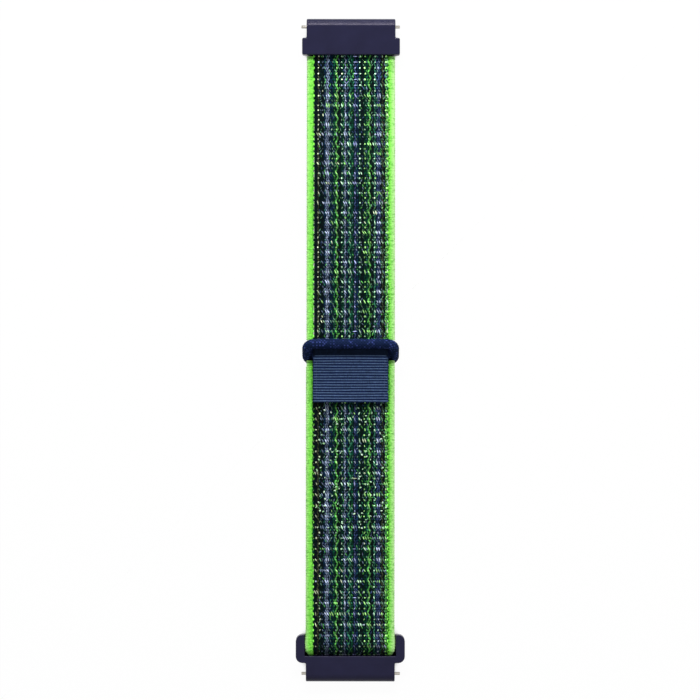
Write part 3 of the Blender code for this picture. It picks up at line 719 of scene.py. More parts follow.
def loop_object(name, hoops=9, sides=5, thickness=0.24):
    """A unit loop of yarn that stands on its edge."""
    bm = bmesh.new()
    across = Vector((0, 1, 0))
    rows = []
    for i in range(hoops):
        a = 2 * pi * i / hoops
        out = Vector((cos(a), 0, sin(a)))
        turns = (2 * pi * k / sides for k in range(sides))
        points = (out * (0.5 - thickness) + thickness * (cos(b) * out + sin(b) * across) for b in turns)
        rows.append([bm.verts.new(point) for point in points])
    for first, second in zip(rows, rows[1:] + rows[:1]):
        for k in range(sides):
            m = (k + 1) % sides
            bm.faces.new((first[k], second[k], second[m], first[m]))
    return unit_object(name, bm)


def tree_with(name, kinds):
    """A new Geometry Nodes tree with named inputs, whose kinds are given, and a geometry output."""
    tree = bpy.data.node_groups.new(name, "GeometryNodeTree")
    tree.interface.new_socket("Geometry", in_out="OUTPUT", socket_type="NodeSocketGeometry")
    kinds = {"Geometry": "Geometry", "Unit": "Object", **kinds, "Seed": "Int", "Material": "Material"}
    for label, kind in kinds.items():
        tree.interface.new_socket(label, in_out="INPUT", socket_type="NodeSocket" + kind)
    return tree, put(tree, "NodeGroupInput").outputs


def drawn(tree, low, high, seed):
    """A random number for each point, from low to high."""
    return put(tree, "FunctionNodeRandomValue", {2: low, 3: high, "Seed": seed}).outputs[1]


def vector(tree, **parts):
    return put(tree, "ShaderNodeCombineXYZ", parts).outputs[0]


def rotation(tree, turns):
    return put(tree, "FunctionNodeEulerToRotation", {0: turns}).outputs[0]


def finished_tree(tree, given, points, turned, scale, seed):
    """Ends a tree: a unit on each point, each with its random shade, as real and smooth meshes."""
    unit = put(tree, "GeometryNodeObjectInfo", {"Object": given["Unit"]}).outputs["Geometry"]
    inputs = {"Points": points, "Instance": unit, "Rotation": turned, "Scale": scale}
    placed = put(tree, "GeometryNodeInstanceOnPoints", inputs).outputs[0]
    inputs = {"Geometry": placed, "Name": "shade", "Value": drawn(tree, 0.0, 1.0, seed)}
    stored = put(tree, "GeometryNodeStoreNamedAttribute", inputs, domain="INSTANCE", data_type="FLOAT")
    real = put(tree, "GeometryNodeRealizeInstances", {0: stored.outputs[0]})
    soft = put(tree, "GeometryNodeSetShadeSmooth", {0: real.outputs[0]})
    inputs = {"Geometry": soft.outputs[0], "Material": given["Material"]}
    put(tree, "NodeGroupOutput", {0: put(tree, "GeometryNodeSetMaterial", inputs).outputs[0]})
    return tree


def stitching_tree():
    """Sets a unit stitch on each point, by the point's size, turn and tilt, with some jitter."""
    tree, given = tree_with("yarn_stitching", {"Turn Jitter": "Float", "Size Jitter": "Float"})

    def spread(amount, offset):
        seed = maths(tree, "ADD", given["Seed"], offset)
        return drawn(tree, maths(tree, "MULTIPLY", amount, -1.0), amount, seed)

    def read(label, kind="FLOAT"):
        node = put(tree, "GeometryNodeInputNamedAttribute", {"Name": label}, data_type=kind)
        return node.outputs["Attribute"]

    turn = maths(tree, "ADD", read("turn"), spread(given["Turn Jitter"], 0.0))
    parts = {0: rotation(tree, vector(tree, Z=turn)), 1: rotation(tree, vector(tree, X=read("tilt")))}
    both = put(tree, "FunctionNodeRotateRotation", parts, rotation_space="GLOBAL")
    grow = maths(tree, "ADD", spread(given["Size Jitter"], 1.0), 1.0)
    parts = {0: read("size", "FLOAT_VECTOR"), "Scale": grow}
    size = put(tree, "ShaderNodeVectorMath", parts, operation="SCALE")
    seed = maths(tree, "ADD", given["Seed"], 2.0)
    return finished_tree(tree, given, given["Geometry"], both.outputs[0], size.outputs[0], seed)


def strewing_tree():
    """Strews unit loops over faces, no nearer to each other than the spacing."""
    kinds = {"Spacing": "Float", "Density": "Float", "Size": "Float", "Lean": "Float"}
    tree, given = tree_with("loop_strewing", kinds)
    seed, lean = given["Seed"], given["Lean"]
    inputs = {
        "Mesh": given["Geometry"],
        "Distance Min": given["Spacing"],
        "Density Max": given["Density"],
        "Seed": seed,
    }
    strewn = put(tree, "GeometryNodeDistributePointsOnFaces", inputs, distribute_method="POISSON")
    back = maths(tree, "MULTIPLY", lean, -1.0)
    low = vector(tree, X=back, Y=back, Z=-HALF_TURN)
    high = vector(tree, X=lean, Y=lean, Z=HALF_TURN)
    turns = put(tree, "FunctionNodeRandomValue", {0: low, 1: high, "Seed": seed}, data_type="FLOAT_VECTOR")
    turned = rotation(tree, turns.outputs[0])
    least, most = (maths(tree, "MULTIPLY", given["Size"], times) for times in (0.72, 1.25))
    size = drawn(tree, least, most, seed)
    return finished_tree(tree, given, strewn.outputs["Points"], turned, size, seed)


def tree_named(name, maker):
    return bpy.data.node_groups.get(name) or maker()


def grown(name, base, tree, unit, finish_name, **values):
    """Runs a tree on a base mesh and keeps the result as a plain mesh; the base and unit go."""
    holder = shown(name, base)
    modifier = holder.modifiers.new("grown", "NODES")
    modifier.node_group = tree
    values = {key.replace("_", " ").title(): value for key, value in values.items()}
    values |= {"Material": finish(finish_name), "Unit": unit}
    for item in tree.interface.items_tree:
        if item.in_out == "INPUT" and item.name != "Geometry":
            modifier[item.identifier] = values[item.name]
    graph = bpy.context.evaluated_depsgraph_get()
    mesh = bpy.data.meshes.new_from_object(
        holder.evaluated_get(graph), preserve_all_data_layers=True, depsgraph=graph
    )
    mesh.name = name
    holder.modifiers.remove(modifier)
    holder.data = mesh
    bpy.data.objects.remove(unit)
    if not mesh.polygons:
        raise RuntimeError(name + " came out empty")
    return holder


class Stitches:
    """Points for stitches, each with its size, turn, tilt, yarn and light."""

    def __init__(self):
        self.places, self.sizes = [], []
        self.values = {"turn": [], "tilt": [], "yarn": [], "light": []}

    def add(self, x, row, lift, size, turn, yarn, light=1.0):
        """A stitch at x on a row, lifted off the surface; size is its width, length and height."""
        lift -= SINK
        up, over = cos(row.tilt), sin(row.tilt)
        least = FLOOR_SHARE * max(size[2] * abs(up), size[1] * abs(over))
        self.places.append((x, row.y - lift * over, max(row.z + lift * up, least)))
        self.sizes += size
        # Painted shade: stitches at the lower fold, in the connector's slot, are darkened
        light *= FOLD_PAINTED_SHADE if row.y < FOLD_SHADE_Y else 1.0
        nth = (list(YARNS).index(yarn) + 0.5) / len(YARNS)
        for key, value in zip(self.values, (turn, row.tilt, nth, light)):
            self.values[key].append(value)

    def mesh(self, name):
        mesh = bpy.data.meshes.new(name)
        mesh.from_pydata(self.places, [], [])
        for key, numbers in self.values.items():
            mesh.attributes.new(key, "FLOAT", "POINT").data.foreach_set("value", numbers)
        mesh.attributes.new("size", "FLOAT_VECTOR", "POINT").data.foreach_set("vector", self.sizes)
        return mesh

    def sewn(self, name, node, turn_jitter, size_jitter, finish_name="yarn", unit=None, stands_for=False):
        """Makes the stitches one piece on a node; without a unit they are grains."""
        piece = grown(
            name,
            self.mesh(name + "_points"),
            tree_named("yarn_stitching", stitching_tree),
            unit or grain_object(name + "_unit"),
            finish_name,
            turn_jitter=turn_jitter,
            size_jitter=size_jitter,
            seed=settings("weave").seed,
        )
        return settle(piece, node, stands_for)


# Light of the half rows, and the zigzag stripes' places, in strand widths, and light
ROW_LIGHTS = (1.2, 0.95, 0.62, 0.85)
OPENING_LIGHT = 1.32
COVERED_LIGHT = 1.08
ZIGZAG_SHARES = (-0.45, 0.45, 0.45, -0.45)
ZIGZAG_LIGHTS = (1.15, 0.75, 1.05, 0.65, 0.9)

# Stitches over a bound edge: how far outside the stripes they are, their lift, width and height
NEON_TOOTH = (0.00012, -0.00006, 0.00040, 0.00036)
DARK_TOOTH = (0.00010, -0.00005, 0.00034, 0.00030)
PALE_STROKE = (0.00006, -0.00003, 0.00030, 0.00024)
DARK_STROKE = (0.00030, -0.00003, 0.00026, 0.00024)
TIE = (0.00020, -0.00002, 0.00046, 0.00034)
LONG_SPECK = (0.00044, 0.00004, 0.00024, 0.00022)
PROUD_SPECK = (0.00044, 0.00009, 0.00026, 0.00024)
FLAT_SPECK = (0.00044, 0.00004, 0.00026, 0.00024)


class Cloth:
    """A strap's striped face: dark gaps, zigzag stripes, and pale slashes, dots and dashes on top.

    The short strap's face is the covered one: the pull tab lies on it."""

    def __init__(self, covered):
        self.covered = covered
        self.weaving = settings("weave")
        self.draw = random.Random(self.weaving.seed)
        self.ground, self.pale = Stitches(), Stitches()

    def weave(self, halves, opening_rows, speck_share):
        """Fills half rows; those of the opening rows have more dots."""
        dot_shift, last_tie_y = 0.00046, -0.052
        for h, row in enumerate(halves):
            near = halves[h + 1] if h + 1 < len(halves) else halves[h - 1]
            pitch = abs(near.walked - row.walked)
            opening = h // 2 < opening_rows
            zig = self.weaving.slant if h % 2 else -self.weaving.slant
            self.stripes(h, row, pitch, zig, opening)
            for x, yarn, paler, manner, _ in STRIPES if h % 2 == 0 else []:
                if self.covered and (yarn, manner) == ("U", "dots"):
                    x += dot_shift if h % 4 else -dot_shift
                self.float_over(row, x, paler, manner, opening, h % 4 == 0 and not opening)
            for side in (-1, 1):
                self.tooth(row, side, pitch, h % 2 == 0)
            if not self.covered:
                self.margin(h, row)
            elif row.y > last_tie_y:
                self.tie(row, pitch, zig)
            if self.draw.random() < speck_share:
                self.speck(row, pitch)

    def stripes(self, h, row, pitch, zig, opening):
        """The stripes' strands, the dark gaps between them and the dim floats in the gaps."""
        weaving, draw, ground = self.weaving, self.draw, self.ground
        strand, height = weaving.strand_width, weaving.stitch_height
        glow = OPENING_LIGHT if opening else ROW_LIGHTS[h % 4] * (COVERED_LIGHT if self.covered else 1.0)
        long = pitch * 1.5
        ground.add(-CORE_HALF + strand, row, -height * 0.7, (strand * 1.5, long, height), zig, "K")
        for i, (x, yarn, _, manner, dark) in enumerate(STRIPES):
            places = (x - 0.8 * PAIR, x + 0.8 * PAIR) if manner == "pairs" else (x,)
            for place in places:
                size = (strand * draw.uniform(0.85, 1.15), pitch * draw.uniform(1.3, 1.6), height)
                if manner == "zigzag":
                    place += strand * ZIGZAG_SHARES[h % 4]
                    turn = weaving.slant * 1.1 * (1 if h % 4 < 2 else -1)
                    size = (1.35 * size[0], size[1], size[2])
                    ground.add(place, row, -height * 0.40, size, turn, yarn, glow * ZIGZAG_LIGHTS[h % 5])
                else:
                    place += strand * 0.4 * sin(0.9 * h) if manner == "pairs" else 0.0
                    ground.add(place, row, -height * 0.45, size, zig, yarn, glow)
            after = STRIPES[i + 1][0] if i + 1 < len(STRIPES) else CORE_HALF
            gap = max(strand, after - places[-1] - strand * 1.2)
            middle = (after + places[-1]) / 2
            ground.add(middle, row, -height * 0.65, (gap, long, height), -zig, dark, glow)
            if draw.random() < weaving.haze_share:
                self.dim_float(row, middle, gap, pitch, glow)

    def dim_float(self, row, middle, gap, pitch, glow):
        """A dim float anywhere in a gap."""
        draw, thin = self.draw, self.weaving.float_width
        across = middle + draw.uniform(-0.4, 0.4) * gap
        turn = draw.choice((-1, 1, 1)) * self.weaving.slant * draw.uniform(0.4, 1.5)
        size = (thin * 0.7, pitch * draw.uniform(0.8, 1.5), thin * 0.8)
        lift = -self.weaving.stitch_height * 0.2
        self.pale.add(across, row, lift, size, turn, draw.choice("hhTSVG"), glow)

    def float_over(self, row, x, tone, manner, opening, pattern):
        """One stripe's pale yarn on one row."""
        weaving, draw, add = self.weaving, self.draw, self.pale.add
        thin, wander, dot_lift, slash_lift = weaving.float_width, 0.00012, 0.00003, 0.00002
        x += draw.uniform(-wander, wander)
        turn = weaving.slant * draw.uniform(0.4, 1.25)
        if draw.random() > 0.88:
            tone = draw.choice("cmpl")
        light = 1.4 if opening else draw.uniform(0.6, 1.1)
        slash = (thin * draw.uniform(0.7, 1.1), weaving.float_length * draw.uniform(0.7, 1.15), thin)
        dot = (weaving.dot_size * 0.88, weaving.dot_size * draw.uniform(0.8, 1.2), weaving.dot_size * 0.55)
        if manner == "dots" and draw.random() < (1.0 if opening else 0.42):
            add(x, row, dot_lift, dot, 0.0, tone, light)
        elif manner == "dashes" and draw.random() < (0.85 if opening else 0.12):
            add(x, row, 0.0, slash, HALF_TURN / 2, tone, light)
        elif pattern and draw.random() < weaving.float_share:
            paired = manner == "pairs" or draw.random() < 0.2
            for place in (x - PAIR, x + PAIR) if paired else (x,):
                add(place, row, slash_lift, slash, turn, tone, light)
        elif draw.random() < weaving.stray_share:
            stroke = (thin * 0.9, slash[1] * 0.6, thin)
            add(x, row, 0.0, stroke, draw.choice((-1, 1)) * turn, tone, light * 0.8)

    def beside(self, row, side, kind, long, yarn, times=1.0, turn=0.0, light=1.0):
        """A stitch of some kind over a bound edge, some times as wide as its kind."""
        out, lift, width, height = kind
        size = (width * times, long, height)
        self.pale.add(side * (CORE_HALF + out), row, lift, size, turn, yarn, light)

    def tooth(self, row, side, pitch, neon_row):
        """The stitch that ties a bound edge to the face, neon and dark by turns."""
        times = self.draw.uniform(0.6, 1.1)
        if neon_row:
            self.beside(row, side, NEON_TOOTH, pitch * self.draw.uniform(0.9, 1.4), "n", times)
        elif self.draw.random() < 0.8:
            self.beside(row, side, DARK_TOOTH, pitch * 1.1, "P" if side < 0 else "d", times)

    def margin(self, h, row):
        """A pale stroke and a dark one by turns, at the long strap's right edge."""
        pale_long, dark_long = 0.00120, 0.00055
        if h % 4 == 0:
            turn = self.weaving.slant * 0.7
            self.beside(row, 1, PALE_STROKE, pale_long, "cm"[h // 4 % 2], turn=turn, light=0.85)
        elif h % 4 == 2:
            self.beside(row, 1, DARK_STROKE, dark_long, "K")

    def tie(self, row, pitch, zig):
        """A dark stitch over the short strap's left edge."""
        times = self.draw.uniform(0.6, 1.3)
        self.beside(row, -1, TIE, pitch * 1.3, self.draw.choice("KKP"), times, zig * 0.6)

    def speck(self, row, pitch):
        """A dark speck on the right edge, flatter near the ring, and none where the ring's arms turn."""
        plain_long, arms, near_ring = 0.00036, 0.0012, 0.004
        if not self.covered:
            self.beside(row, 1, LONG_SPECK, plain_long, "d")
            return
        long = pitch * self.draw.uniform(0.5, 1.0)
        yarn = self.draw.choice("KPd")
        if row.y < RING_Y - arms:
            kind = PROUD_SPECK if row.y < RING_Y - near_ring else FLAT_SPECK
            self.beside(row, 1, kind, long, yarn)

    def sew(self, strap):
        self.ground.sewn(strap + "_ground_stitches", strap + "_face", radians(7), 0.10)
        self.pale.sewn(strap + "_pale_floats", strap + "_face", radians(8), 0.16)


# Bands and edges, swept along paths


def band_layer(name, path, low, high, finish_name, node, half=CORE_HALF, columns=14, relief=0.0):
    """A cloth layer between two distances to the left of a path, with its long sides rounded."""
    draw = random.Random(3)
    across = [(-1 + 2 * i / columns) * half for i in range(columns + 1)]
    widest = half - SIDE_ROUNDING
    rings = []
    for a, b in zip(moved(path, low), moved(path, high)):
        middle = (a + b) / 2
        over = [(min(max(x, -widest), widest), b) for x in across]
        under = [(x, a) for x, _ in reversed(over)]
        ring = [*over, (half, middle), *under, (-half, middle)]
        rings.append([(x, p.x, p.y + relief * draw.uniform(-1, 1)) for x, p in ring])
    return settle(skin(name, rings, finish_name), node)


def edge_place():
    """The middle and half the width of a bound edge across the strap."""
    outer = EDGE_OUTER - settings("edges").slack
    return (EDGE_INNER + outer) / 2, (outer - EDGE_INNER) / 2


def plump(angle):
    """How far across and how far up a plump outline is at an angle, each from -1 to 1."""
    across = abs(cos(angle)) ** 0.55 * (1 if cos(angle) > 0 else -1)
    return across, abs(sin(angle)) ** 0.62 * (1 if sin(angle) > 0 else -1)


def rounding(gone, reach, least):
    """How full a rounded end is at a distance from its tip, up to 1."""
    return max(least, (1 - (1 - min(gone / reach, 1)) ** 2) ** 0.5)


def bead(name, node, path, low, high, side, swell=None, stands_for=True, rounded=False, facing=1):
    """A bound edge swept along a path: plump, and ribbed like a knit; its end may be rounded."""
    edge = settings("edges")
    path = finely(path, edge.rib / 4)
    far = walk(path)
    centre_x, half_width = edge_place()
    around = 18
    rings, across = [], []
    for i, (point, walked) in enumerate(zip(path, far)):
        normal = left_of(heading(path, i))
        top = high(point) if callable(high) else high
        middle, half_height = (low + top) / 2, (top - low) / 2
        grow = rounding(far[-1] - walked, half_height, 0.12) if rounded else 1.0
        rib = edge.relief * sin(2 * pi * walked / edge.rib)
        out = swell(point) if swell else 0.0
        ring = []
        for k in range(around):
            a = 2 * pi * k / around
            u, v = plump(a)
            wobble = rib * (1 if sin(a) >= 0 else -1) * sin(2 * a + walked / edge.rib)
            x = centre_x + u * (half_width * (0.5 + grow / 2) + rib / 2) + (out * (1 + u) / 2)
            p = point + normal * (middle + v * (half_height * grow + wobble))
            ring.append((side * x, p.x, p.y))
            # Painted rim highlight, weaker as painted shade on the half that faces down, and reaching further on
            # the right edges
            across.append((u + 1) / 2 * (1 - 0.45 * max(0.0, -v * facing)) + edge.right_edge_highlight * (side > 0))
        rings.append(ring)
    return settle(skin(name, rings, "neon", {"across": across}), node, stands_for)


# The ring's lines


def ring_flat(step):
    """The sleeve's middle line in the ring's own plane, from corner to corner."""
    height, corner = hypot(RING_REACH, RING_RISE), RING_CORNER
    right = arc((RING_ARM - corner, corner), corner, -0.60 * HALF_TURN / 2, 0, 14)
    right += arc((RING_ARM - corner, height - corner), corner, 0, HALF_TURN / 2, 18)
    return finely(right + [Vector((-p.x, p.y)) for p in reversed(right)], step)


def ring_up():
    return Vector((0, RING_REACH, RING_RISE)).normalized()


def ring_line():
    """The middle line of the ring in space, with its lower corners."""
    corner, step = RING_CORNER, 0.00008
    flat = arc((RING_ARM - corner, corner), corner, -HALF_TURN / 2, 0, 60) + ring_flat(step)
    flat += [Vector((-p.x, p.y)) for p in flat]
    return [Vector((p.x, RING_Y, MID_Z)) + p.y * ring_up() for p in flat]


def over_ring(x, y, line):
    """The lowest height at which a point at x and y is clear of the ring."""
    reach = RING_RADIUS + GAP
    near = ((p.z, (x - p.x) ** 2 + (y - p.y) ** 2) for p in line)
    return max((z + (reach**2 - off) ** 0.5 for z, off in near if off < reach**2), default=0.0)


# Operators


class STRAP_OT_connectors(bpy.types.Operator):
    """Finish the two moulded lug connectors"""

    bl_idname = "strap.connectors"
    bl_label = "Lug connectors"

    def execute(self, context):
        for end in ("upper", "lower"):
            smoothed(end + "_lug_connector", "moulded")
        return {"FINISHED"}


class STRAP_OT_spring_bars(bpy.types.Operator):
    """Finish the spring bars, their tips, springs and release knobs, and the retainer rod"""

    bl_idname = "strap.spring_bars"
    bl_label = "Spring bars"

    def execute(self, context):
        for end in ("upper", "lower"):
            for part in ("spring_bar_tube", "fixed_tip", "release_tip", "release_knob"):
                smoothed(end + "_" + part, "steel")
            self.spring(end)
        smoothed("strap_retainer_rod", "steel")
        return {"FINISHED"}

    def spring(self, end):
        """The coil spring, smoothed, on a mesh of its own."""
        node, joint = end + "_spring", end + "_release_press"
        piece = smoothed(node, "spring", 70)
        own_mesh(piece)


class STRAP_OT_long_strap(bpy.types.Operator):
    """Weave the long strap's striped face"""

    bl_idname = "strap.long_strap"
    bl_label = "Long strap face"

    def execute(self, context):
        weaving, node = settings("weave"), "long_strap_face"
        low, high = GAP / 2, GAP / 2 + FACE
        into_mouth, past_ring, past_edge = 0.0015, 0.0006, 0.0004
        path = finely(long_path(JOIN_Y, MOUTH_Y + into_mouth), CLOTH_STEP)
        ground_top = high - weaving.stitch_height * GROUND_DROP_SHARE
        band_layer("long_strap_ground", path, low, ground_top, "ground", node)
        # A thin layer where the strap's sides draw in under the ring, in the ribbon's dark groove colour: painted
        # shadow under the ring
        neck = long_path(RING_Y + past_ring, LONG_EDGE_Y + past_edge)
        band_layer("long_strap_neck", neck, low, low + FACE * 0.4, "ribbon", node, half=NECK_HALF)
        opening = weaving.opening_rows * weaving.opening_row

        def pitch(walked):
            return (weaving.opening_row if walked < opening else weaving.long_row) / 2

        cloth = Cloth(covered=False)
        cloth.weave(paced(moved(path, high)[::-1], pitch), weaving.opening_rows, speck_share=0.3)
        cloth.sew("long_strap")
        return {"FINISHED"}


class STRAP_OT_short_strap(bpy.types.Operator):
    """Weave the short strap's striped face, folded round both bars"""

    bl_idname = "strap.short_strap"
    bl_label = "Short strap face"

    def execute(self, context):
        weaving = settings("weave")
        path = finely(short_path(), CLOTH_STEP)
        low, high = -FACE / 2, FACE / 2
        ground_top = low + weaving.stitch_height * GROUND_DROP_SHARE
        band_layer("short_strap_ground", path, ground_top, high, "ground", "short_strap_face")
        cloth = Cloth(covered=True)
        cloth.weave(paced(moved(path, low), lambda walked: weaving.short_row / 2), 0, speck_share=0.8)
        cloth.sew("short_strap")
        return {"FINISHED"}


class STRAP_OT_loops(bpy.types.Operator):
    """Set the pale loops that the hooks grip, in zigzag lines down the short strap's upper half"""

    bl_idname = "strap.loops"
    bl_label = "Grip loops"

    def execute(self, context):
        weaving = settings("weave")
        draw = random.Random(weaving.seed)
        inner, outer, start, end, wave = 0.0026, 0.0088, -0.0128, -0.0420, 0.0086
        last_row, last_places, strays = end - 0.0019, (0.0006, 0.0032, 0.0057, 0.0081), 26
        off_x, off_y, lift = 0.00022, 0.00026, 0.00022
        places = []
        for side in (-1, 1):
            turns = [(outer, start)]
            while turns[-1][1] > end:
                near = inner if len(turns) % 2 else outer
                turns.append((near, turns[-1][1] - wave / 2))
            line = finely([Vector((side * x, y)) for x, y in turns], weaving.loop_pitch)
            places += [(p.x, p.y) for p in line]
        places += [(side * x, last_row) for side in (-1, 1) for x in last_places]
        places += [(draw.uniform(-outer, outer), draw.uniform(end, start)) for _ in range(strays)]
        loops = Stitches()
        for x, y in places:
            x += draw.gauss(0, off_x)
            y += draw.gauss(0, off_y)
            size = weaving.loop_size * draw.uniform(0.75, 1.2)
            row = Row(y, SHORT_TOP, draw.uniform(-0.5, 0.5))
            loops.add(max(-outer, min(outer, x)), row, lift, (size,) * 3, draw.uniform(0, HALF_TURN), "m")
        unit = loop_object("grip_loop_unit")
        piece = loops.sewn("grip_loops", "short_strap_face", 0.2, 0.1, "loops", unit)
        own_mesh(piece)
        return {"FINISHED"}


class STRAP_OT_linings(bpy.types.Operator):
    """Make the looped linings that lie on the wrist"""

    bl_idname = "strap.linings"
    bl_label = "Linings"

    def execute(self, context):
        low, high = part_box("short_strap_lining")
        self.lining("short_strap", [Vector((low.y, SHORT_REF)), Vector((high.y, SHORT_REF))])
        low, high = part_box("long_strap_lining")
        self.lining("long_strap", long_path(low.y, high.y))
        return {"FINISHED"}

    def lining(self, name, line):
        """A rough layer, with loops strewn over its lower side."""
        weaving, node = settings("weave"), name + "_lining"
        low, high = -GAP / 2 - LINING, -GAP / 2
        step, relief, root_depth, side_margin, loop_size = 0.0006, 0.00003, 0.00016, 0.0003, 0.00042
        path = finely(line, step)
        band_layer(name + "_pile", path, low, high, "pile", node, columns=30, relief=relief)
        bm = bmesh.new()
        half = CORE_HALF - side_margin
        under = moved(path, low + root_depth)
        rows = [[bm.verts.new((x, p.x, p.y)) for x in (-half, half)] for p in under]
        for a, b in zip(rows, rows[1:]):
            bm.faces.new((a[0], b[0], b[1], a[1]))
        piece = grown(
            name + "_pile_loops",
            mesh_of(name + "_pile_field", bm),
            tree_named("loop_strewing", strewing_tree),
            loop_object(name + "_pile_unit", hoops=6, sides=3, thickness=0.2),
            "pile",
            spacing=weaving.pile_spacing,
            density=weaving.pile_density,
            size=loop_size,
            lean=radians(80),
            seed=weaving.seed,
        )
        settle(piece, node, stands_for=False)


class STRAP_OT_edges(bpy.types.Operator):
    """Bind the straps' long sides with neon yarn"""

    bl_idname = "strap.edges"
    bl_label = "Bound edges"

    def execute(self, context):
        for name, side in (("left", -1), ("right", 1)):
            self.short_edge("short_strap_edge_" + name, side)
            self.nose("short_strap_edge_" + name, side)
            self.long_edge("long_strap_edge_" + name, side)
        return {"FINISHED"}

    def short_edge(self, node, side):
        """The edge of the short strap, thick along the band and thin round the lower fold."""
        edge = settings("edges")
        thin_y, thicken = BAR_Y + 0.0002, 0.0012
        bulge_y, bulge_reach = BAR_Y + 0.0012, 0.0024
        tuck_y, tuck_reach = BAR_Y - 0.0007, 0.0013

        def under(point):
            thick = 0.0 if point.y < SHORT_REF else smooth((point.x - thin_y) / thicken)
            return FACE / 2 + (GAP + LINING) * thick

        def swell(point):
            out = edge.bulge * max(0.0, 1 - abs(point.x - bulge_y) / bulge_reach)
            inward = edge.tuck * smooth((tuck_y - point.x) / tuck_reach)
            return out + (edge.spread if side < 0 else 0) - inward

        path = [Vector((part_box(node)[1].y, SHORT_TOP - FACE / 2))] + fold_path(BAR_Y, 1)[::-1]
        low = -FACE / 2 - GAP / 2
        bead(node + "_band", node, path, low, under, side, swell, rounded=True, facing=-1)

    def nose(self, node, side):
        """The end of the short strap's edge, laid over the ring's lower corner."""
        edge = settings("edges")
        lap, past_bar, narrower, round_reach = 0.0006, 0.0001, 0.0001, 0.0003
        lowest, least_height = MID_Z + 0.0012, 0.0004
        line = [p for p in ring_line() if p.z < MID_Z + RING_RISE / 2]
        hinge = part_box(node)[1].y
        start, tip = hinge - lap, RING_Y + past_bar
        centre_x, half_width = edge_place()
        centre_x, half_width = centre_x + narrower, half_width - narrower
        steps, around = 22, 18
        rings, across = [], []
        for i in range(steps + 1):
            y = start + (tip - start) * i / steps
            grow = rounding((steps - i) / steps * (tip - start), round_reach, 0.2)
            places = []
            for k in range(around):
                u, v = plump(2 * pi * k / around)
                x = centre_x + u * half_width * (0.5 + grow / 2)
                places.append((u, v, x, max(lowest, over_ring(side * x, y, line))))
            top = max(SHORT_TOP + GAP / 2, max(place[3] for place in places) + least_height)
            rib = edge.relief * sin(2 * pi * y / edge.rib)
            ring = []
            for u, v, x, low in places:
                ring.append((side * x, y, (low + top) / 2 + v * ((top - low) / 2 * grow) + rib * (v > 0)))
                # Painted rim highlight, reaching further on the right edges
                across.append((u + 1) / 2 + edge.right_edge_highlight * (side > 0))
            rings.append(ring)
        piece = settle(skin(node + "_nose", rings, "neon", {"across": across}), node, False)
        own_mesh(piece)

    def long_edge(self, node, side):
        """The edge of the long strap, cut in three pieces around the ring's place when the strap is tightened; the
        middle piece has a mesh of its own.
        """
        low, high = -GAP / 2 - LINING, GAP / 2 + FACE
        before_gate, past_gate = 0.0017, 0.0060
        gate = RING_Y + TIGHTEN
        cuts = [LONG_EDGE_Y, gate - before_gate, gate + past_gate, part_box(node)[1].y]
        for i, (a, b) in enumerate(zip(cuts, cuts[1:])):
            name = f"{node}_band_{i + 1}"
            piece = bead(name, node, long_path(a, b), low, high, side, stands_for=i == 0)
            if i == 1:
                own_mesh(piece)


class STRAP_OT_ring(bpy.types.Operator):
    """Knit the sleeve over the keeper ring's core"""

    bl_idname = "strap.ring"
    bl_label = "Keeper ring"

    def execute(self, context):
        smoothed("keeper_ring_wire", "core", 50)
        ring = settings("ring")
        end_reach, end_drop = 0.0003, 0.0001
        up = ring_up()
        out = Vector((0, up.z, -up.y))
        flat = ring_flat(ring.pitch / 4)
        far = walk(flat)
        sides = ring.strands * 3
        draw = random.Random(11)
        lots = {}
        rings, strands, heights = [], [], []
        for i, (p, walked) in enumerate(zip(flat, far)):
            along = heading(flat, i)
            side = Vector((along.y, 0, 0)) + up * -along.x
            centre = Vector((p.x, RING_Y, MID_Z)) + p.y * up
            drop = end_drop * max(0.0, 1 - min(walked, far[-1] - walked) / end_reach)
            hoop = []
            for k in range(sides):
                turn = k / sides
                a = walked / ring.pitch / 2 + turn * ring.strands / 2
                b = walked / ring.pitch / 2 - turn * ring.strands / 2
                bump = abs(sin(pi * a) * sin(pi * b)) ** 0.5
                key = (floor(a), floor(b) % ring.strands)
                if key not in lots:
                    lots[key] = draw.random()
                radius = RING_RADIUS - ring.relief * 0.7 + ring.relief * bump - drop
                angle = 2 * pi * turn
                hoop.append(centre + radius * (cos(angle) * side + sin(angle) * out))
                strands.append(lots[key])
                heights.append(bump)
            rings.append(hoop)
        piece = skin("keeper_ring_knit", rings, "sleeve", {"strand": strands, "height": heights})
        settle(piece, "keeper_ring_sleeve")
        return {"FINISHED"}


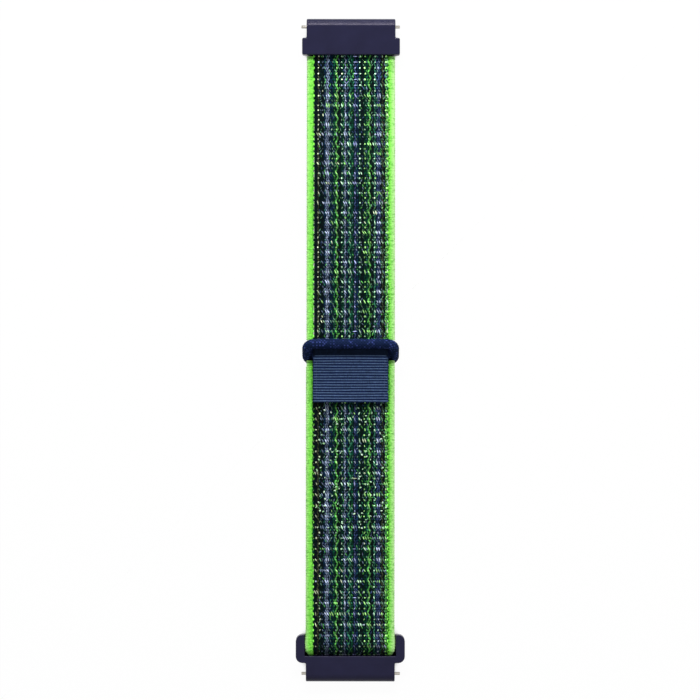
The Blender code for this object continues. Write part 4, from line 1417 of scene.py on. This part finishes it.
class STRAP_OT_tab(bpy.types.Operator):
    """Make the ribbed pull tab, its seam and the hook patch under it"""

    bl_idname = "strap.tab"
    bl_label = "Pull tab"

    def execute(self, context):
        self.cover()
        self.seam()
        self.patch()
        return {"FINISHED"}

    def cover(self):
        """The ribbed ribbon, folded down and back in under the tab's free end."""
        tab = settings("tab")
        start, end, half = TAB_HIGH.y, TAB_LOW.y, TAB_HIGH.x
        base, lip = LONG_REF + GAP / 2, TAB_LOW.z
        valley = TAB_HIGH.z - tab.relief
        shoulder, lip_depth, lip_in, lip_up = 0.0006, 0.0006, 0.0002, 0.0003
        side_drop, side_round, notch, sway_reach, fade = 0.00022, 0.0005, 0.00005, 0.00003, 0.0004
        corner_across, corner_along, ring_shadow_fade = 0.0013, 0.0008, 0.0003
        columns, fine = 90, 8
        count = round((start - end) / tab.rib)
        pitch = (start - end) / count
        profile = [(start, base, 0.0)]
        for i in range(count * fine + 1):
            s = i / fine
            ridge = max(0.0, sin(pi * (s % 1.0))) ** 2.2 if s < count else 0.0
            # Ribs nearly flat in the stretch under the ring's painted shadow
            if s * pitch < tab.painted_ring_shadow:
                ridge *= 0.1
            profile.append((start - s * pitch, valley + tab.relief * ridge, ridge))
        profile += [(end, valley - shoulder, 0.1), (end, lip + lip_up, 0.2), (end + lip_in, lip, 0.1)]
        profile += [(end + lip_depth, lip, 0.0), (end + lip_depth, base, 0.0)]
        draw = random.Random(5)
        wander = [draw.uniform(-1, 1) for _ in range(count + 2)]
        rings, ridges, painted_ring_shadows = [], [], []
        for c in range(columns + 1):
            t = -1 + 2 * c / columns
            from_side = half * (1 - abs(t))
            drop = side_drop * max(0.0, 1 - from_side / side_round) ** 2
            ring = []
            for y, z, ridge in profile:
                nth = min(int((start - y) / pitch), count)
                x = t * (half - notch * (1 - ridge) * (1 if abs(t) > 0.99 else 0))
                sway = sway_reach * sin(2.6 * t + 2 * wander[nth]) * (1 if ridge else 0)
                ring.append((x, y + sway, z - (drop if z > base else 0)))
                ridges.append(ridge * (1 - 0.25 * max(0.0, 1 - from_side / fade)))
                # Painted shadow of the ring: the first stretch below the ring's bar, and a triangle at each top
                # corner under the ring's inner corners
                below = start - y - tab.painted_ring_shadow
                corner = 4 * (1 - from_side / corner_across - below / corner_along)
                painted_ring_shadows.append(min(max(1 - below / ring_shadow_fade, corner, 0), 1))
            rings.append(ring)
        piece = skin("pull_tab_ribbon", rings, "ribbon", {"ridge": ridges, "painted_ring_shadow": painted_ring_shadows})
        settle(piece, "pull_tab_cover")

    def seam(self):
        """Stitches round the tab's two sides and its free end."""
        inset, proud, pitch, width, height = 0.0009, 0.00001, 0.00085, 0.00016, 0.00014
        side, end, z = TAB_HIGH.x - inset, TAB_LOW.y + inset, TAB_HIGH.z + proud
        corners = [Vector((-side, RING_Y)), Vector((-side, end)), Vector((side, end)), Vector((side, RING_Y))]
        stitches = Stitches()
        for a, b in zip(corners, corners[1:]):
            run = b - a
            count = round(run.length / pitch)
            size = (width, run.length / count * 0.86, height)
            for i in range(count):
                p = a + run * ((i + 0.5) / count)
                stitches.add(p.x, Row(p.y, z), 0.0, size, atan2(-run.x, run.y), "N")
        stitches.sewn("tab_seam_stitches", "tab_seam_thread", 0.02, 0.03, "thread", stands_for=True)

    def patch(self):
        """The hook tape, and its hooks in staggered rows."""
        low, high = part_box("hook_patch")
        hook_depth, root_depth, pitch, size = 0.00028, 0.00012, 0.00075, (0.00016, 0.00040, 0.00036)
        floor_z = low.z + hook_depth
        outline = [(low.y, floor_z), (high.y, floor_z), (high.y, high.z), (low.y, high.z)]
        places = [low.x + (high.x - low.x) * c / 8 for c in range(9)]
        rings = [[(x, y, z) for y, z in outline] for x in places]
        settle(skin("hook_patch_tape", rings, "hooks"), "hook_patch")
        stitches = Stitches()
        for i in range(int((high.x - low.x) / pitch)):
            for j in range(int((high.y - low.y) / pitch)):
                x = low.x + (i + 0.5 + 0.25 * (j % 2)) * pitch
                row = Row(low.y + (j + 0.5) * pitch, floor_z - root_depth)
                stitches.add(x, row, 0.0, size, 0.0, "N")
        stitches.sewn("hook_rows", "hook_patch", 0.25, 0.1, "hooks")


class STRAP_OT_fold_seams(bpy.types.Operator):
    """Sew the two seams that close the short strap's folds"""

    bl_idname = "strap.fold_seams"
    bl_label = "Fold seams"

    def execute(self, context):
        pitch, width, height = 0.0017, 0.00024, 0.00022
        for node in ("ring_fold_seam_thread", "bar_fold_seam_thread"):
            low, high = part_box(node)
            stitches = Stitches()
            count = round((high.x - low.x) / pitch)
            step = (high.x - low.x) / count
            row = Row((low.y + high.y) / 2, (low.z + high.z) / 2)
            for i in range(count):
                x = low.x + (i + 0.5) * step
                stitches.add(x, row, 0.0, (width, step * 0.84, height), HALF_TURN / 2, "N")
            stitches.sewn(node + "_stitches", node, 0.03, 0.03, "thread", stands_for=True)
        return {"FINISHED"}


class STRAP_OT_stage(bpy.types.Operator):
    """Set the floor, the lights and the camera"""

    bl_idname = "strap.stage"
    bl_label = "Stage"

    def execute(self, context):
        stage = settings("stage")
        scene = context.scene
        scene.view_settings.view_transform = "Standard"
        self.floor()
        self.world(stage.ambient)
        self.light("key_light", (0.0, 0.47, 0.50), (0.40, 0.10), stage.key_power)
        self.light("rim_light", (0.0, 0.62, 0.20), (0.55, 0.08), stage.rim_power)
        self.light("left_light", (-0.52, -0.05, 0.46), (0.30, 0.40), stage.side_power * 0.7)
        self.light("right_light", (0.52, -0.05, 0.46), (0.30, 0.40), stage.side_power * 1.3)
        camera = shown("camera", bpy.data.cameras.new("camera"))
        camera.location = (*CAMERA_SHIFT, stage.distance + MID_Z)
        camera.rotation_euler = (0, 0, stage.roll)
        camera.data.lens = camera.data.sensor_width * stage.distance / stage.frame_width
        camera.data.clip_end = 10
        scene.camera = camera
        return {"FINISHED"}

    def floor(self):
        """A white floor that keeps the strap's shadow, with painted shade where ambient occlusion finds it closed
        in, that glows up at the strap as bounce light, and that no picture from below shows.
        """
        half, shadow_reach = 4.0, 0.007
        bm = bmesh.new()
        bm.faces.new([bm.verts.new((x * half, y * half, 0)) for x, y in ((-1, -1), (1, -1), (1, 1), (-1, 1))])
        floor = shown("floor", mesh_of("floor", bm))
        material = bpy.data.materials.new("white_floor")
        material.use_nodes = True
        tree = material.node_tree
        shader = tree.nodes["Principled BSDF"]
        shader.inputs["Roughness"].default_value = 1.0
        shader.inputs["Specular IOR Level"].default_value = 0.0
        glow = put(tree, "ShaderNodeEmission", {"Color": (1, 1, 1, 1), "Strength": 1.0})
        open_sky = put(tree, "ShaderNodeAmbientOcclusion", {"Distance": shadow_reach}).outputs["AO"]
        # Painted shade: the floor's colour and its glow to the camera fall to dark where ambient occlusion finds
        # it closed in, in narrow gaps and at contact
        clear = span(tree, open_sky, 0.20, 0.42, 0.0, 0.97)
        in_view = seen(tree)
        hidden = maths(tree, "SUBTRACT", 1.0, in_view)
        tree.links.new(grey(tree, maths(tree, "MAXIMUM", clear, hidden)), shader.inputs["Base Color"])
        direct = maths(tree, "MULTIPLY", in_view, clear)
        amount = maths(tree, "MULTIPLY_ADD", hidden, settings("stage").bounce, direct)
        both = put(tree, "ShaderNodeMixShader", {0: amount, 1: shader.outputs[0], 2: glow.outputs[0]})
        below = put(tree, "ShaderNodeNewGeometry").outputs["Backfacing"]
        through = put(tree, "ShaderNodeBsdfTransparent").outputs[0]
        sided = put(tree, "ShaderNodeMixShader", {0: below, 1: both.outputs[0], 2: through})
        tree.links.new(sided.outputs[0], tree.nodes["Material Output"].inputs["Surface"])
        floor.data.materials.append(material)

    def world(self, strength):
        """White all round where the camera sees it, and dim where it lights the strap."""
        world = bpy.data.worlds.new("studio")
        world.use_nodes = True
        tree = world.node_tree
        background = tree.nodes["Background"]
        background.inputs["Color"].default_value = (1, 1, 1, 1)
        tree.links.new(span(tree, seen(tree), 0.0, 1.0, strength), background.inputs["Strength"])
        bpy.context.scene.world = world

    def light(self, name, place, size, power):
        """A rectangular light that faces the strap."""
        lamp = bpy.data.lights.new(name, "AREA")
        lamp.shape = "RECTANGLE"
        lamp.size, lamp.size_y = size
        lamp.energy = power
        holder = shown(name, lamp)
        holder.location = place
        holder.rotation_mode = "QUATERNION"
        holder.rotation_quaternion = (-Vector(place)).to_track_quat("-Z", "Y")


OPERATORS = [
    STRAP_OT_connectors,
    STRAP_OT_spring_bars,
    STRAP_OT_long_strap,
    STRAP_OT_short_strap,
    STRAP_OT_loops,
    STRAP_OT_linings,
    STRAP_OT_edges,
    STRAP_OT_ring,
    STRAP_OT_tab,
    STRAP_OT_fold_seams,
    STRAP_OT_stage,
]


class STRAP_PT_dresser(bpy.types.Panel):
    """The strap's settings and steps"""

    bl_idname = "STRAP_PT_dresser"
    bl_label = "Woven watch strap"
    bl_space_type = "VIEW_3D"
    bl_region_type = "UI"
    bl_category = "Strap"

    def draw(self, context):
        for group, kind in SETTINGS.items():
            box = self.layout.box()
            box.label(text=group.title())
            for key in kind.__annotations__:
                box.prop(settings(group), key)
        for step in OPERATORS:
            self.layout.operator(step.bl_idname)


CLASSES = [*SETTINGS.values(), *OPERATORS, STRAP_PT_dresser]


def register():
    for kind in CLASSES:
        bpy.utils.register_class(kind)
    for group, kind in SETTINGS.items():
        setattr(bpy.types.Scene, "strap_" + group, PointerProperty(type=kind))


def unregister():
    for group in SETTINGS:
        delattr(bpy.types.Scene, "strap_" + group)
    for kind in reversed(CLASSES):
        bpy.utils.unregister_class(kind)


def main():
    register()
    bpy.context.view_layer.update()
    for step in OPERATORS:
        place, name = step.bl_idname.split(".")
        getattr(getattr(bpy.ops, place), name)()


if __name__ == "__main__":
    main()
